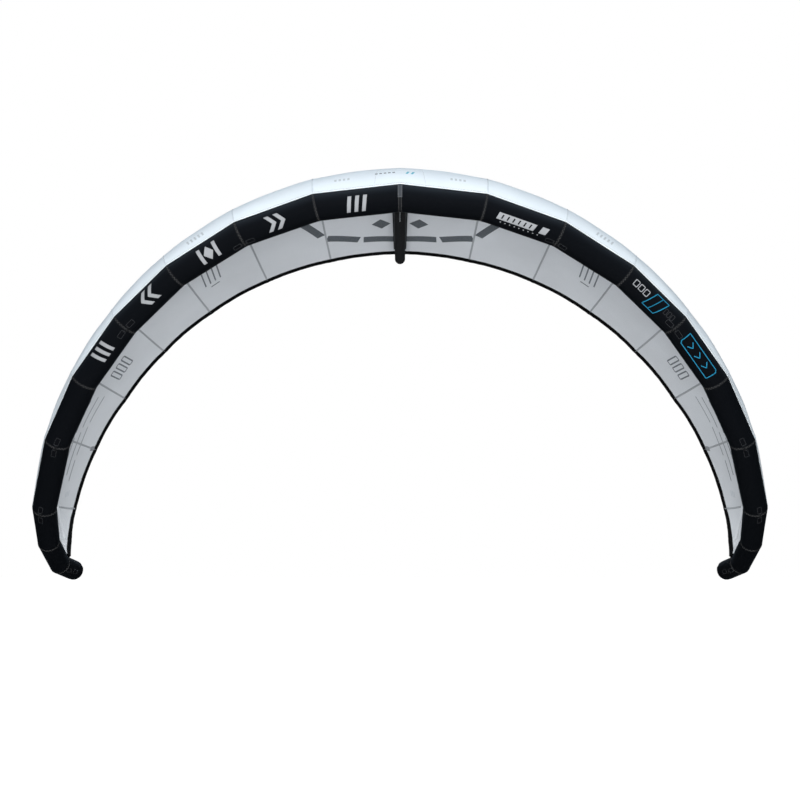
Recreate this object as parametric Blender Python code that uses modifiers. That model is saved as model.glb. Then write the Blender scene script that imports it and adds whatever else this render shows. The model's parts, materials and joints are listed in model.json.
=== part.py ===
"""Inflatable kite with one centre strut: sewn tube panels, canopy panels, bladders, loops and fittings.

The kite stands as it flies, arch up. X runs along the span, +Y runs from the nose to the trailing edge,
+Z is up, and the origin is the middle of the leading-edge tube on the plane of symmetry.
"""

import math

import bmesh
import bpy
from mathutils import Matrix, Vector

# Plan and front view of the leading-edge tube, from the middle to the centre of its round end.
HALF_SPAN = 2.694
ARCH_DROP = 2.593
SWEEP_DEPTH = 1.870
SPAN_SHARES = (0.0, 0.2115, 0.4055, 0.577, 0.7105, 0.823, 0.912, 0.984, 1.0, 0.999, 0.980)
DROP_SHARES = (0.0, 0.0207, 0.086, 0.1905, 0.3175, 0.4665, 0.6245, 0.8075, 0.908, 0.9765, 1.0)
SWEEP_SHARES = (0.0, 0.021, 0.059, 0.107, 0.155, 0.222, 0.342, 0.551, 0.706, 0.872, 1.0)

# The tube itself.
TUBE_RADIUS = 0.100
TUBE_RADIUS_SHARES = (1.0, 0.99, 0.97, 0.95, 0.945, 0.94, 0.915, 0.88, 0.82, 0.79, 0.77)
TUBE_PANELS = 10
SLEEVE_WALL = 0.0010
SLEEVE_SIDES = 24
TIP_DOME_DEPTH = 0.050
DOME_TURN_SHARES = (0.35, 0.68, 0.90)

# Canopy, measured from the tube's centre line back along the ribs.
ROOT_CHORD = 1.832
CANOPY_STATIONS = (0.0, 1.0, 2.0, 3.0, 4.0, 5.0, 6.0, 7.0, 8.0, 8.9)
SEWN_ANGLES = (42, 42, 41, 40, 38, 36, 32, 15, -45, -150)
CHORD_SHARES = (1.0, 0.991, 0.9525, 0.89, 0.805, 0.723, 0.609, 0.4775, 0.225)
FRONT_HANDLE_SHARES = (0.333, 0.312, 0.292, 0.263, 0.238, 0.193, 0.143, 0.19, 0.25)
REAR_HANDLE_SHARES = (0.50, 0.50, 0.50, 0.50, 0.50, 0.50, 0.50, 0.45, 0.40)
REAR_DROP_ANGLES = (13, 13, 13, 13, 12, 11, 10, 12, 22)
REAR_RISE_SHARES = (0.0, -0.09, -0.09, -0.09, -0.09, -0.10, -0.10, -0.10, -0.80)
TIP_RIB_SHARE = 0.14
BILLOW = 0.016
BILLOW_SHARES = (1.0, 1.0, 1.0, 1.0, 1.0, 1.0, 0.9, 0.5, 0.15)
BILLOW_RAMP_SHARE = 0.20
CLOTH = 0.0012
CANOPY_PANELS = 8
PANEL_COLUMNS = 4
TIP_COLUMNS = 8
PANEL_ROWS = 12
ROW_CROWDING = 1.4
FADE_POWER = 3
LEAVING_LIFT_ANGLE = 5
TANGENT_STEP_SHARE = 0.01

# Stitched joins are butted with these clearances.
SEAM_GAP = 0.0006
SEAT_GAP = 0.0003

# Folded tape round the canopy's rear edge.
TAPE_INSET = 0.044
TAPE_OVERHANG = 0.002
TAPE_RUN_SHARE = 0.8
TAPE_WALL = 0.0008
TAPE_CLEARANCE = 0.0010

# Airtight bladders.
BLADDER_WALL = 0.0008
BLADDER_CLEARANCE = 0.0006
BLADDER_SIDES = 12

# Centre strut.
STRUT_FRONT_RADIUS = 0.075
STRUT_REAR_RADIUS = 0.040
STRUT_SIDES = 20
STRUT_START_SHARE = 0.075
STRUT_REAR_MARGIN = 0.030
STRUT_DOME_DEPTH = 0.040
STRUT_REAR_DROP = 0.027
STRUT_DROP_START_SHARE = 0.45
STRUT_BLADDER_START_SHARE = 0.22

# Webbing loops: gathered round roots and a flat crown.
LOOP_HALF_WIDTH = 0.014
LOOP_HEIGHT = 0.022
LOOP_CORNER = 0.008
ROOT_THICKNESS = 0.0044
ROOT_CHAMFER = 0.0013
CROWN_WIDTH = 0.012
CROWN_THICKNESS = 0.0024
CROWN_CHAMFER = 0.0006
ROOT_END_HEIGHT = 0.0015
ROOT_END_SHARE = 0.5
LEG_FLATNESS_SHARE = 0.6
CORNER_STEPS = 3
BRIDLE_SEAM_ANGLES = {2: 150, 4: 120, 6: 105, 7: 90}
REAR_LOOP_STATION = 9.35
REAR_LOOP_ANGLE = 125

# Tip batten, a flat rod in a pocket on the inside of the tip panel.
BATTEN_WIDTH = 0.009
BATTEN_THICKNESS = 0.0025
BATTEN_STATIONS = (7.06, 7.25, 7.5, 7.75, 7.94)
BATTEN_DEPTH_SHARES = (0.70, 0.72, 0.745, 0.77, 0.79)

# Inflation valve, on the rear of the tube; depths run from the sleeve towards +Y.
VALVE_X = 0.300
VALVE_FLANGE_RADIUS = 0.030
VALVE_FLANGE_HEIGHT = 0.007
VALVE_FLANGE_EDGE = 0.0035
VALVE_SHOULDER_RADIUS = 0.022
VALVE_NECK_RADIUS = 0.017
VALVE_BORE_RADIUS = 0.014
VALVE_NECK_DEPTH = 0.014
VALVE_SIDES = 24
INSERT_RIM_RADIUS = 0.0185
INSERT_RIM_HEIGHT = 0.0025
INSERT_BORE_RADIUS = 0.010
INSERT_OVERHANG = 0.001
FLAP_RADIUS = 0.0125
FLAP_THICKNESS = 0.0012
CAP_HEIGHT = 0.003
CAP_EDGE = 0.0008
CAP_PLUG_DEPTH = 0.002
CAP_PLUG_CLEARANCE = 0.0006
CAP_HINGE_REACH = 0.0015

# Transfer hose between the two bladders, with its clamp.
HOSE_RADIUS = 0.0065
HOSE_BORE_RADIUS = 0.0044
HOSE_STEPS = 14
HOSE_LEAD = 0.016
PORT_RADIUS = 0.0040
PORT_BORE_RADIUS = 0.0025
PORT_LENGTH = 0.012
PORT_ROOT = 0.006
PORT_SIDES = 16
TUBE_PORT_STATION = 0.24
TUBE_PORT_ANGLE = 292.5
STRUT_PORT_SHARE = 0.34
HOSE_HANDLE = 0.085
COLLAR_RADIUS = 0.0105
COLLAR_LENGTH = 0.012
COLLAR_CLEARANCE = 0.0006
COLLAR_EDGE = 0.0008
PIN_RADIUS = 0.0025
PIN_LENGTH = 0.0055
PIN_ROOT = 0.002
LEVER_LENGTH = 0.024
LEVER_WIDTH = 0.009
LEVER_TIP_HALF_WIDTH = 0.003
LEVER_THICKNESS = 0.0035
LEVER_CLEARANCE = 0.0003
LEVER_ROUND_STEPS = 8

# One overrun serves every cutter, and one merge distance every welded cap.
OVERRUN = 0.010
MERGE = 0.00001
SHARP_ANGLE = 35

CHORDWISE = Vector((0, 1, 0))
DOWN = Vector((0, 0, -1))


def clear_scene():
    for old in list(bpy.data.objects):
        bpy.data.objects.remove(old, do_unlink=True)


def new_collection(name):
    collection = bpy.data.collections.new(name)
    bpy.context.scene.collection.children.link(collection)
    return collection


def new_material(name, colour, roughness, metallic=0.0):
    material = bpy.data.materials.new(name)
    material.use_nodes = True
    shader = material.node_tree.nodes["Principled BSDF"]
    shader.inputs["Base Color"].default_value = (*colour, 1.0)
    shader.inputs["Roughness"].default_value = roughness
    shader.inputs["Metallic"].default_value = metallic
    material.diffuse_color = (*colour, 1.0)
    return material


clear_scene()
KITE = new_collection("kitesurfing_kite")
CUTTERS = new_collection("cutters")
BLACK_CLOTH = new_material("black_sleeve_cloth", (0.012, 0.013, 0.016), 0.60)
PALE_CLOTH = new_material("pale_canopy_cloth", (0.62, 0.65, 0.68), 0.50)
GREY_CLOTH = new_material("grey_strut_cloth", (0.050, 0.053, 0.057), 0.60)
BLACK_TAPE = new_material("black_edge_tape", (0.010, 0.010, 0.011), 0.70)
BLADDER_FILM = new_material("clear_bladder_film", (0.55, 0.58, 0.60), 0.30)
WEBBING = new_material("black_webbing", (0.014, 0.014, 0.015), 0.80)
VALVE_PLASTIC = new_material("grey_valve_plastic", (0.10, 0.11, 0.12), 0.40)
FLAP_RUBBER = new_material("valve_flap_rubber", (0.030, 0.030, 0.032), 0.60)
HOSE_SILICONE = new_material("hose_silicone", (0.45, 0.48, 0.50), 0.35)
CLAMP_PLASTIC = new_material("black_clamp_plastic", (0.020, 0.020, 0.022), 0.40)
BATTEN_GLASS = new_material("pale_batten_rod", (0.50, 0.51, 0.48), 0.35)


def between(knots, values, place):
    """The value at a place, on straight lines between the knots."""
    for low in range(len(knots) - 1):
        if place <= knots[low + 1] or low == len(knots) - 2:
            part = (place - knots[low]) / (knots[low + 1] - knots[low])
            return values[low] * (1 - part) + values[low + 1] * part


STATIONS = tuple(range(TUBE_PANELS + 1))
SEAM_CENTRES = [Vector((HALF_SPAN * out, SWEEP_DEPTH * back, -ARCH_DROP * down))
                for out, back, down in zip(SPAN_SHARES, SWEEP_SHARES, DROP_SHARES)]


def seam_frame(seam):
    """Directions along the tube, outwards from the arch and towards the rear, at a seam."""
    if seam == 0:
        along = Vector((1, 0, 0))
    else:
        along = (SEAM_CENTRES[seam] - SEAM_CENTRES[seam - 1]).normalized()
        if seam < TUBE_PANELS:
            along += (SEAM_CENTRES[seam + 1] - SEAM_CENTRES[seam]).normalized()
        along.normalize()
    outward = Vector((-along.z, 0, along.x)).normalized()
    return along, outward, outward.cross(along)


SEAM_FRAMES = [seam_frame(seam) for seam in STATIONS]


def tube_frame(station):
    """Centre and directions of the tube at a station; whole stations are its seams."""
    low = min(int(station), TUBE_PANELS - 1)
    part = station - low
    centre = SEAM_CENTRES[low].lerp(SEAM_CENTRES[low + 1], part)
    along, outward, rearward = (first.lerp(last, part).normalized()
                                for first, last in zip(SEAM_FRAMES[low], SEAM_FRAMES[low + 1]))
    return centre, along, outward, rearward


def carried_frames():
    """The middle frame carried along the tube without twist, so that each panel's sides are straight."""
    frames = [SEAM_FRAMES[0]]
    for (before, _, _), (after, _, _) in zip(SEAM_FRAMES, SEAM_FRAMES[1:]):
        spin = before.rotation_difference(after)
        _, outward, rearward = frames[-1]
        frames.append((after, spin @ outward, spin @ rearward))
    return frames


CARRIED_FRAMES = carried_frames()
TWISTS = [math.atan2(-true.dot(rearward), true.dot(outward))
          for (_, true, _), (_, outward, rearward) in zip(SEAM_FRAMES, CARRIED_FRAMES)]


def tube_radius(station):
    return TUBE_RADIUS * between(STATIONS, TUBE_RADIUS_SHARES, station)


def ring_point(seam, turn, reach):
    _, outward, rearward = CARRIED_FRAMES[seam]
    return SEAM_CENTRES[seam] + outward * (reach * math.cos(turn)) - rearward * (reach * math.sin(turn))


def facet_share(turn):
    """How close the flats of the many-sided sleeve come to its corners' circle."""
    step = 2 * math.pi / SLEEVE_SIDES
    return math.cos(step / 2) / math.cos(turn % step - step / 2)


def tube_point(station, angle, stand_off=0.0):
    """A point on or off the sleeve: 0 degrees is the arch's outside, 90 degrees is the nose."""
    low = min(int(station), TUBE_PANELS - 1)
    part = station - low
    turn = math.radians(angle) + TWISTS[low] * (1 - part) + TWISTS[low + 1] * part
    first, last = (ring_point(seam, turn, tube_radius(seam) * facet_share(turn) + stand_off)
                   for seam in (low, low + 1))
    return first.lerp(last, part)


def tube_ring(station, stand_off, sides):
    """The tube's section at a station, with its corners on straight lines from seam to seam."""
    low = min(int(station), TUBE_PANELS - 1)
    turns = [2 * math.pi * side / sides for side in range(sides)]
    first, last = ([ring_point(seam, turn, tube_radius(seam) + stand_off) for turn in turns]
                   for seam in (low, low + 1))
    return [start.lerp(end, station - low) for start, end in zip(first, last)]


def panel_length(panel):
    return (SEAM_CENTRES[panel] - SEAM_CENTRES[panel - 1]).length


def mirrored(point, side):
    """The same point on the chosen half: side is 1 for the right half and -1 for the left."""
    return Vector((point.x * side, point.y, point.z))


def new_object(name, mesh, material, collection=KITE):
    mesh.materials.append(material)
    thing = bpy.data.objects.new(name, mesh)
    collection.objects.link(thing)
    return thing


def shade(mesh):
    mesh.shade_smooth()
    mesh.set_sharp_from_angle(angle=math.radians(SHARP_ANGLE))


def lofted(name, rings, cyclic=False, capped=True):
    """A skin through rings of equal counts: closed on itself, or with its two end rings filled.

    The first two rings lie on the outside of the piece, which tells which way its faces point.
    """
    work = bmesh.new()
    loops = [[work.verts.new(point) for point in ring] for ring in rings]
    pairs = list(zip(loops, loops[1:]))
    if cyclic:
        pairs.append((loops[-1], loops[0]))
    for first, last in pairs:
        count = len(first)
        for place in range(count):
            after = (place + 1) % count
            work.faces.new((first[place], first[after], last[after], last[place]))
    outside = list(work.faces)[:len(loops[0])]
    if capped and not cyclic:
        work.faces.new(loops[0])
        work.faces.new(loops[-1])
    bmesh.ops.recalc_face_normals(work, faces=work.faces)
    corners = loops[0] + loops[1]
    middle = sum((corner.co for corner in corners), Vector()) / len(corners)
    lean = sum(face.calc_area() * face.normal.dot(face.calc_center_median() - middle) for face in outside)
    if lean < 0:
        bmesh.ops.reverse_faces(work, faces=work.faces)
    mesh = bpy.data.meshes.new(name)
    work.to_mesh(mesh)
    work.free()
    shade(mesh)
    return mesh


def mesh_of_curve(name, data):
    """The curve's solid as a mesh, with its loose caps welded on."""
    guide = bpy.data.objects.new(name, data)
    bpy.context.scene.collection.objects.link(guide)
    graph = bpy.context.evaluated_depsgraph_get()
    mesh = bpy.data.meshes.new_from_object(guide.evaluated_get(graph))
    bpy.data.objects.remove(guide, do_unlink=True)
    work = bmesh.new()
    work.from_mesh(mesh)
    bmesh.ops.remove_doubles(work, verts=work.verts, dist=MERGE)
    bmesh.ops.recalc_face_normals(work, faces=work.faces)
    work.to_mesh(mesh)
    work.free()
    mesh.name = name
    shade(mesh)
    return mesh


def add_boolean(thing, cutter, operation="DIFFERENCE"):
    step = thing.modifiers.new(operation.lower() + "_" + cutter.name, "BOOLEAN")
    step.operation = operation
    step.solver = "EXACT"
    step.object = cutter


def as_cutter(thing):
    thing.hide_render = True
    thing.display_type = "WIRE"
    return thing


def disc(name, radius, thickness, sides, material, collection=KITE):
    """A capped cylinder about the origin."""
    bpy.ops.mesh.primitive_cylinder_add(vertices=sides, radius=radius, depth=thickness)
    thing = bpy.context.object
    thing.name = name
    thing.data.name = name
    for home in list(thing.users_collection):
        home.objects.unlink(thing)
    collection.objects.link(thing)
    thing.data.materials.append(material)
    shade(thing.data)
    return thing


def cylinder_cutter(name, start, end, radius, sides, material):
    """A capped cylinder from one point to another, for cutting or joining."""
    thing = disc(name, radius, (end - start).length, sides, material, CUTTERS)
    thing.matrix_world = Matrix.Translation((start + end) / 2) @ turned_to(end - start)
    return as_cutter(thing)


def turned_to(direction):
    """A rotation that takes +Z to a direction."""
    return direction.to_track_quat("Z", "Y").to_matrix().to_4x4()


def turned(name, profile, sides, material, place, collection=KITE):
    """A closed profile of (radius, height) pairs turned about the height axis and set in place."""
    work = bmesh.new()
    points = [work.verts.new((radius, 0, height)) for radius, height in profile]
    for first, last in zip(points, points[1:] + points[:1]):
        work.edges.new((first, last))
    mesh = bpy.data.meshes.new(name)
    work.to_mesh(mesh)
    work.free()
    thing = new_object(name, mesh, material, collection)
    screw = thing.modifiers.new("turn", "SCREW")
    screw.axis = "Z"
    screw.steps = sides
    screw.render_steps = sides
    screw.use_merge_vertices = True
    screw.merge_threshold = MERGE
    screw.use_smooth_shade = False
    thing.matrix_world = place
    return thing


def dome_rings(ring_at, depth_direction, depth, centre):
    """Shrinking rings that close a tube with a rounded end."""
    rings = []
    for turn_share in DOME_TURN_SHARES:
        turn = turn_share * math.pi / 2
        shift = depth_direction * (depth * math.sin(turn))
        rings.append([centre + (point - centre) * math.cos(turn) + shift for point in ring_at])
    return rings


# Sleeve panels of the leading-edge tube.


def tip_dome(stand_off, sides):
    along = (SEAM_CENTRES[-1] - SEAM_CENTRES[-2]).normalized()
    ring = tube_ring(TUBE_PANELS, stand_off, sides)
    return dome_rings(ring, along, TIP_DOME_DEPTH + stand_off, SEAM_CENTRES[-1])


def leading_edge_panel(panel, side):
    margin = SEAM_GAP / 2 / panel_length(panel)
    start = panel - 1 + margin
    end = panel - margin
    if panel < TUBE_PANELS:
        rings = [tube_ring(start, 0, SLEEVE_SIDES), tube_ring(end, 0, SLEEVE_SIDES),
                 tube_ring(end, -SLEEVE_WALL, SLEEVE_SIDES), tube_ring(start, -SLEEVE_WALL, SLEEVE_SIDES)]
    else:
        outer = [tube_ring(start, 0, SLEEVE_SIDES), tube_ring(TUBE_PANELS, 0, SLEEVE_SIDES)]
        outer += tip_dome(0, SLEEVE_SIDES)
        inner = [tube_ring(start, -SLEEVE_WALL, SLEEVE_SIDES)]
        inner.append(tube_ring(TUBE_PANELS, -SLEEVE_WALL, SLEEVE_SIDES))
        inner += tip_dome(-SLEEVE_WALL, SLEEVE_SIDES)
        rings = outer[::-1] + inner
    rings = [[mirrored(point, side) for point in ring] for ring in rings]
    half = "right" if side > 0 else "left"
    name = f"leading_edge_panel_{half}_{panel}"
    return new_object(name, lofted(name, rings, cyclic=panel < TUBE_PANELS), BLACK_CLOTH)


# Canopy surface and panels.


def canopy_stand_off():
    return CLOTH / 2 + SEAM_GAP


def row_share(row):
    """Depth of a row of the canopy's grid: rows crowd towards the tube, where the cloth leaves it."""
    return (row / PANEL_ROWS) ** ROW_CROWDING


def bay_at(station):
    """The canopy's bay between two ribs that holds a station, and how far across it the station is."""
    bay = 0
    while bay < len(CANOPY_STATIONS) - 2 and station > CANOPY_STATIONS[bay + 1]:
        bay += 1
    first, last = CANOPY_STATIONS[bay:bay + 2]
    return bay, (station - first) / (last - first)


def billow_at(station, depth_share):
    """How far the cloth swells between two ribs, growing from nothing at the tube."""
    bay, part = bay_at(station)
    width_share = CANOPY_STATIONS[bay + 1] - CANOPY_STATIONS[bay]
    ramp = min(depth_share / BILLOW_RAMP_SHARE, 1.0)
    return BILLOW * BILLOW_SHARES[bay] * width_share * 4 * part * (1 - part) * ramp


def sewn_point(station):
    """Where the cloth's middle surface starts, just clear of the sleeve's corners."""
    low = min(int(station), TUBE_PANELS - 1)
    part = station - low
    turn = math.radians(between(CANOPY_STATIONS, SEWN_ANGLES, station))
    turn += TWISTS[low] * (1 - part) + TWISTS[low + 1] * part
    first, last = (ring_point(seam, turn, tube_radius(seam) + canopy_stand_off()) for seam in (low, low + 1))
    return first.lerp(last, part)


def bezier(handles, part):
    near = 1 - part
    return (handles[0] * near ** 3 + handles[1] * (3 * near ** 2 * part)
            + handles[2] * (3 * near * part ** 2) + handles[3] * part ** 3)


def rib_point(rib, depth_share):
    """A point of a rib's curve: depth 0 is the seam on the tube, 1 the rear edge.

    The cloth past the last whole rib is a small copy of that rib where the rear edge meets the tube.
    """
    front = sewn_point(CANOPY_STATIONS[rib])
    if rib == len(CHORD_SHARES):
        return front + (rib_point(rib - 1, depth_share) - rib_point(rib - 1, 0)) * TIP_RIB_SHARE
    centre, _, outward, rearward = tube_frame(CANOPY_STATIONS[rib])
    lifted = math.radians(SEWN_ANGLES[rib] + LEAVING_LIFT_ANGLE)
    leaving = outward * math.sin(lifted) + rearward * math.cos(lifted)
    drop = math.radians(REAR_DROP_ANGLES[rib])
    arriving = (CHORDWISE * math.cos(drop) - outward * math.sin(drop)).normalized()
    chord = ROOT_CHORD * CHORD_SHARES[rib]
    rear = centre + CHORDWISE * chord + outward * (tube_radius(rib) * REAR_RISE_SHARES[rib])
    first = front + leaving * (chord * FRONT_HANDLE_SHARES[rib])
    last = rear - arriving * (chord * REAR_HANDLE_SHARES[rib])
    return bezier((front, first, last, rear), depth_share)


def canopy_point(station, depth_share):
    """A point of the cloth: straight from rib to rib, held to the tube in front and swollen between."""
    bay, part = bay_at(station)
    straight = rib_point(bay, depth_share).lerp(rib_point(bay + 1, depth_share), part)
    seams = [sewn_point(rib) for rib in CANOPY_STATIONS[bay:bay + 2]]
    held = sewn_point(station) - seams[0].lerp(seams[1], part)
    outward = tube_frame(station)[2]
    fade = (1 - depth_share) ** FADE_POWER
    return straight + held * fade + outward * billow_at(station, depth_share)


def even_steps(first, last, count):
    return [first + (last - first) * step / count for step in range(count + 1)]


def canopy_columns(panel):
    """Stations of a panel's columns, drawn in a little from its two seams."""
    first, last = CANOPY_STATIONS[panel - 1:panel + 1]
    if panel < CANOPY_PANELS:
        steps = even_steps(first, last, PANEL_COLUMNS)
    else:
        steps = even_steps(first, last, TIP_COLUMNS) + even_steps(last, CANOPY_STATIONS[-1], TIP_COLUMNS)[1:]
    margin = SEAM_GAP / 2 / panel_length(panel)
    steps[0] += margin
    steps[-1] -= margin
    return steps


def canopy_panel(panel, side):
    work = bmesh.new()
    columns = []
    for station in canopy_columns(panel):
        points = [mirrored(canopy_point(station, row_share(row)), side) for row in range(PANEL_ROWS + 1)]
        columns.append([work.verts.new(point) for point in points])
    for first, last in zip(columns, columns[1:]):
        for row in range(PANEL_ROWS):
            work.faces.new((first[row], last[row], last[row + 1], first[row + 1]))
    if side < 0:
        bmesh.ops.reverse_faces(work, faces=work.faces)
    half = "right" if side > 0 else "left"
    name = f"canopy_panel_{half}_{panel}"
    mesh = bpy.data.meshes.new(name)
    work.to_mesh(mesh)
    work.free()
    shade(mesh)
    thing = new_object(name, mesh, PALE_CLOTH)
    sheet = thing.modifiers.new("cloth_thickness", "SOLIDIFY")
    sheet.thickness = CLOTH
    sheet.offset = 0
    sheet.use_even_offset = True
    sheet.use_rim = True
    return thing


# Trailing-edge tape, a narrow U round the rear edge.


def grid_point(station, depth_share):
    """A point on the straight run between two rows of the canopy's grid."""
    row = PANEL_ROWS - 1
    while row and row_share(row) > depth_share:
        row -= 1
    low, high = row_share(row), row_share(row + 1)
    return canopy_point(station, low).lerp(canopy_point(station, high), (depth_share - low) / (high - low))


def neighbours(items, place):
    return items[max(place - 1, 0)], items[min(place + 1, len(items) - 1)]


def tape_section(rear, last_row, across):
    run = last_row - rear
    fore = run.normalized()
    outward = across.cross(fore).normalized()
    inset = min(TAPE_INSET, run.length * TAPE_RUN_SHARE)
    inner = CLOTH / 2 + TAPE_CLEARANCE
    outer = inner + TAPE_WALL
    corners = ((inset, outer), (-TAPE_OVERHANG, outer), (-TAPE_OVERHANG, -outer), (inset, -outer),
               (inset, -inner), (-TAPE_CLEARANCE, -inner), (-TAPE_CLEARANCE, inner), (inset, inner))
    return [rear + fore * reach + outward * lift for reach, lift in corners]


def trailing_edge_tape(side):
    stations = []
    for panel in range(1, CANOPY_PANELS + 1):
        stations += canopy_columns(panel)[:-1]
    rears = [canopy_point(station, 1) for station in stations]
    sections = []
    for place, station in enumerate(stations):
        before, after = neighbours(rears, place)
        section = tape_section(rears[place], canopy_point(station, row_share(PANEL_ROWS - 1)), after - before)
        sections.append([mirrored(point, side) for point in section])
    half = "right" if side > 0 else "left"
    name = f"trailing_edge_tape_{half}"
    return new_object(name, lofted(name, sections), BLACK_TAPE)


# Centre strut, hung under the middle seam of the canopy.


def strut_drop(depth_share):
    """How far the strut hangs off the canopy: nothing along its front, most at its rear end."""
    run_share = max(depth_share - STRUT_DROP_START_SHARE, 0.0) / (1 - STRUT_DROP_START_SHARE)
    return STRUT_REAR_DROP * run_share ** 2


def strut_axis(depth_share, radius):
    """Centre of the strut: its upper side touches the canopy's middle seam, but for the drop at the rear."""
    back = min(depth_share + TANGENT_STEP_SHARE, 1)
    ahead = canopy_point(0, back)
    behind = canopy_point(0, back - TANGENT_STEP_SHARE * 2)
    tangent = (ahead - behind).normalized()
    outward = Vector((0, -tangent.z, tangent.y))
    dihedral = math.atan2(-SEAM_CENTRES[1].z, SEAM_CENTRES[1].x)
    depth = (radius + SEAT_GAP + CLOTH / 2) / math.cos(dihedral) + strut_drop(depth_share)
    return canopy_point(0, depth_share) - outward * depth, tangent, outward


def strut_radius(depth_share):
    return STRUT_FRONT_RADIUS + (STRUT_REAR_RADIUS - STRUT_FRONT_RADIUS) * depth_share


def strut_rings(start_share, stand_off, sides):
    end_share = 1 - STRUT_REAR_MARGIN / ROOT_CHORD
    rows = [row_share(row) for row in range(PANEL_ROWS + 1)]
    between_ends = [share for share in rows if start_share < share < end_share]
    rings = []
    for depth_share in [start_share] + between_ends + [end_share]:
        radius = strut_radius(depth_share)
        centre, tangent, outward = strut_axis(depth_share, radius)
        turns = [2 * math.pi * place / sides for place in range(sides)]
        reach = radius + stand_off
        rings.append([centre + outward * (reach * math.cos(turn)) + Vector((reach * math.sin(turn), 0, 0))
                      for turn in turns])
    return rings, centre, tangent


def strut_sleeve():
    outer, centre, tangent = strut_rings(STRUT_START_SHARE, 0, STRUT_SIDES)
    inner, _, _ = strut_rings(STRUT_START_SHARE, -SLEEVE_WALL, STRUT_SIDES)
    outer += dome_rings(outer[-1], tangent, STRUT_DOME_DEPTH, centre)
    inner += dome_rings(inner[-1], tangent, STRUT_DOME_DEPTH - SLEEVE_WALL, centre)
    return new_object("strut_sleeve", lofted("strut_sleeve", outer[::-1] + inner), GREY_CLOTH)


def strut_bladder():
    gap = SLEEVE_WALL + BLADDER_CLEARANCE + STRUT_FRONT_RADIUS * (1 - math.cos(math.pi / STRUT_SIDES))
    outer, centre, tangent = strut_rings(STRUT_BLADDER_START_SHARE, -gap, BLADDER_SIDES)
    inner, _, _ = strut_rings(STRUT_BLADDER_START_SHARE, -gap - BLADDER_WALL, BLADDER_SIDES)
    middle, lead, _ = strut_axis(STRUT_BLADDER_START_SHARE, strut_radius(STRUT_BLADDER_START_SHARE))
    depth = STRUT_DOME_DEPTH - gap
    outer += dome_rings(outer[-1], tangent, depth, centre)
    inner += dome_rings(inner[-1], tangent, depth - BLADDER_WALL, centre)
    outer = dome_rings(outer[0], -lead, depth, middle)[::-1] + outer
    inner = dome_rings(inner[0], -lead, depth - BLADDER_WALL, middle)[::-1] + inner
    return bladder_shell("strut_bladder", outer, inner)


def bladder_shell(name, outer, inner):
    """A closed film with its hollow, whose opening is cut later."""
    mesh = lofted(name, outer)
    hollow = lofted(name + "_hollow", inner)
    bladder = new_object(name, mesh, BLADDER_FILM)
    core = as_cutter(new_object(name + "_hollow", hollow, BLADDER_FILM, CUTTERS))
    return bladder, core


# Leading-edge bladder, tip to tip.


def bladder_rings(stand_off):
    right = [tube_ring(seam, stand_off, BLADDER_SIDES) for seam in STATIONS]
    right += tip_dome(stand_off, BLADDER_SIDES)
    left =[[mirrored(point, -1) for point in ring] for ring in right[1:]]
    return left[::-1] + right


def leading_edge_bladder():
    gap = -SLEEVE_WALL - BLADDER_CLEARANCE - TUBE_RADIUS * (1 - math.cos(math.pi / SLEEVE_SIDES))
    return bladder_shell("leading_edge_bladder", bladder_rings(gap), bladder_rings(gap - BLADDER_WALL))


# Webbing loops, gathered at their roots, each hung from the line through its roots.


def loop_section(width, thickness, chamfer):
    """Half widths of a flat band with cut corners, as pairs across and through."""
    half = width / 2
    deep = thickness / 2
    return ((half - chamfer, deep), (half, deep - chamfer), (half, chamfer - deep), (half - chamfer, -deep),
            (chamfer - half, -deep), (-half, chamfer - deep), (-half, deep - chamfer), (chamfer - half, deep))


def loop_path():
    """Places along the loop in its own plane: across, down, direction angle and flatness."""
    places = [(-LOOP_HALF_WIDTH, 0.0, 90, 0.0)]
    places.append((-LOOP_HALF_WIDTH, LOOP_HEIGHT - LOOP_CORNER, 90, LEG_FLATNESS_SHARE))
    for step in range(1, CORNER_STEPS + 1):
        angle = 90 - 90 * step / CORNER_STEPS
        turn = math.radians(angle)
        across = -LOOP_HALF_WIDTH + LOOP_CORNER * (1 - math.sin(turn))
        down = LOOP_HEIGHT - LOOP_CORNER * (1 - math.cos(turn))
        places.append((across, down, angle, 1.0))
    places += [(-across, down, -angle, flat) for across, down, angle, flat in places[::-1]]
    return places


def loop_rings():
    rings = []
    for across, down, angle, flat in loop_path():
        width = ROOT_THICKNESS + (CROWN_WIDTH - ROOT_THICKNESS) * flat
        thickness = ROOT_THICKNESS + (CROWN_THICKNESS - ROOT_THICKNESS) * flat
        chamfer = ROOT_CHAMFER + (CROWN_CHAMFER - ROOT_CHAMFER) * flat
        turn = math.radians(angle)
        outside = Vector((-math.sin(turn), 0, -math.cos(turn)))
        rings.append([Vector((across, 0, -down)) + outside * deep + Vector((0, wide, 0))
                      for wide, deep in loop_section(width, thickness, chamfer)])
    root = Vector((-LOOP_HALF_WIDTH, 0, 0))
    rise = Vector((0, 0, ROOT_END_HEIGHT))
    start = [root.lerp(point, ROOT_END_SHARE) + rise for point in rings[0]]
    end = [Vector((-point.x, point.y, point.z)) for point in start]
    return [start] + rings + [end]


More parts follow.
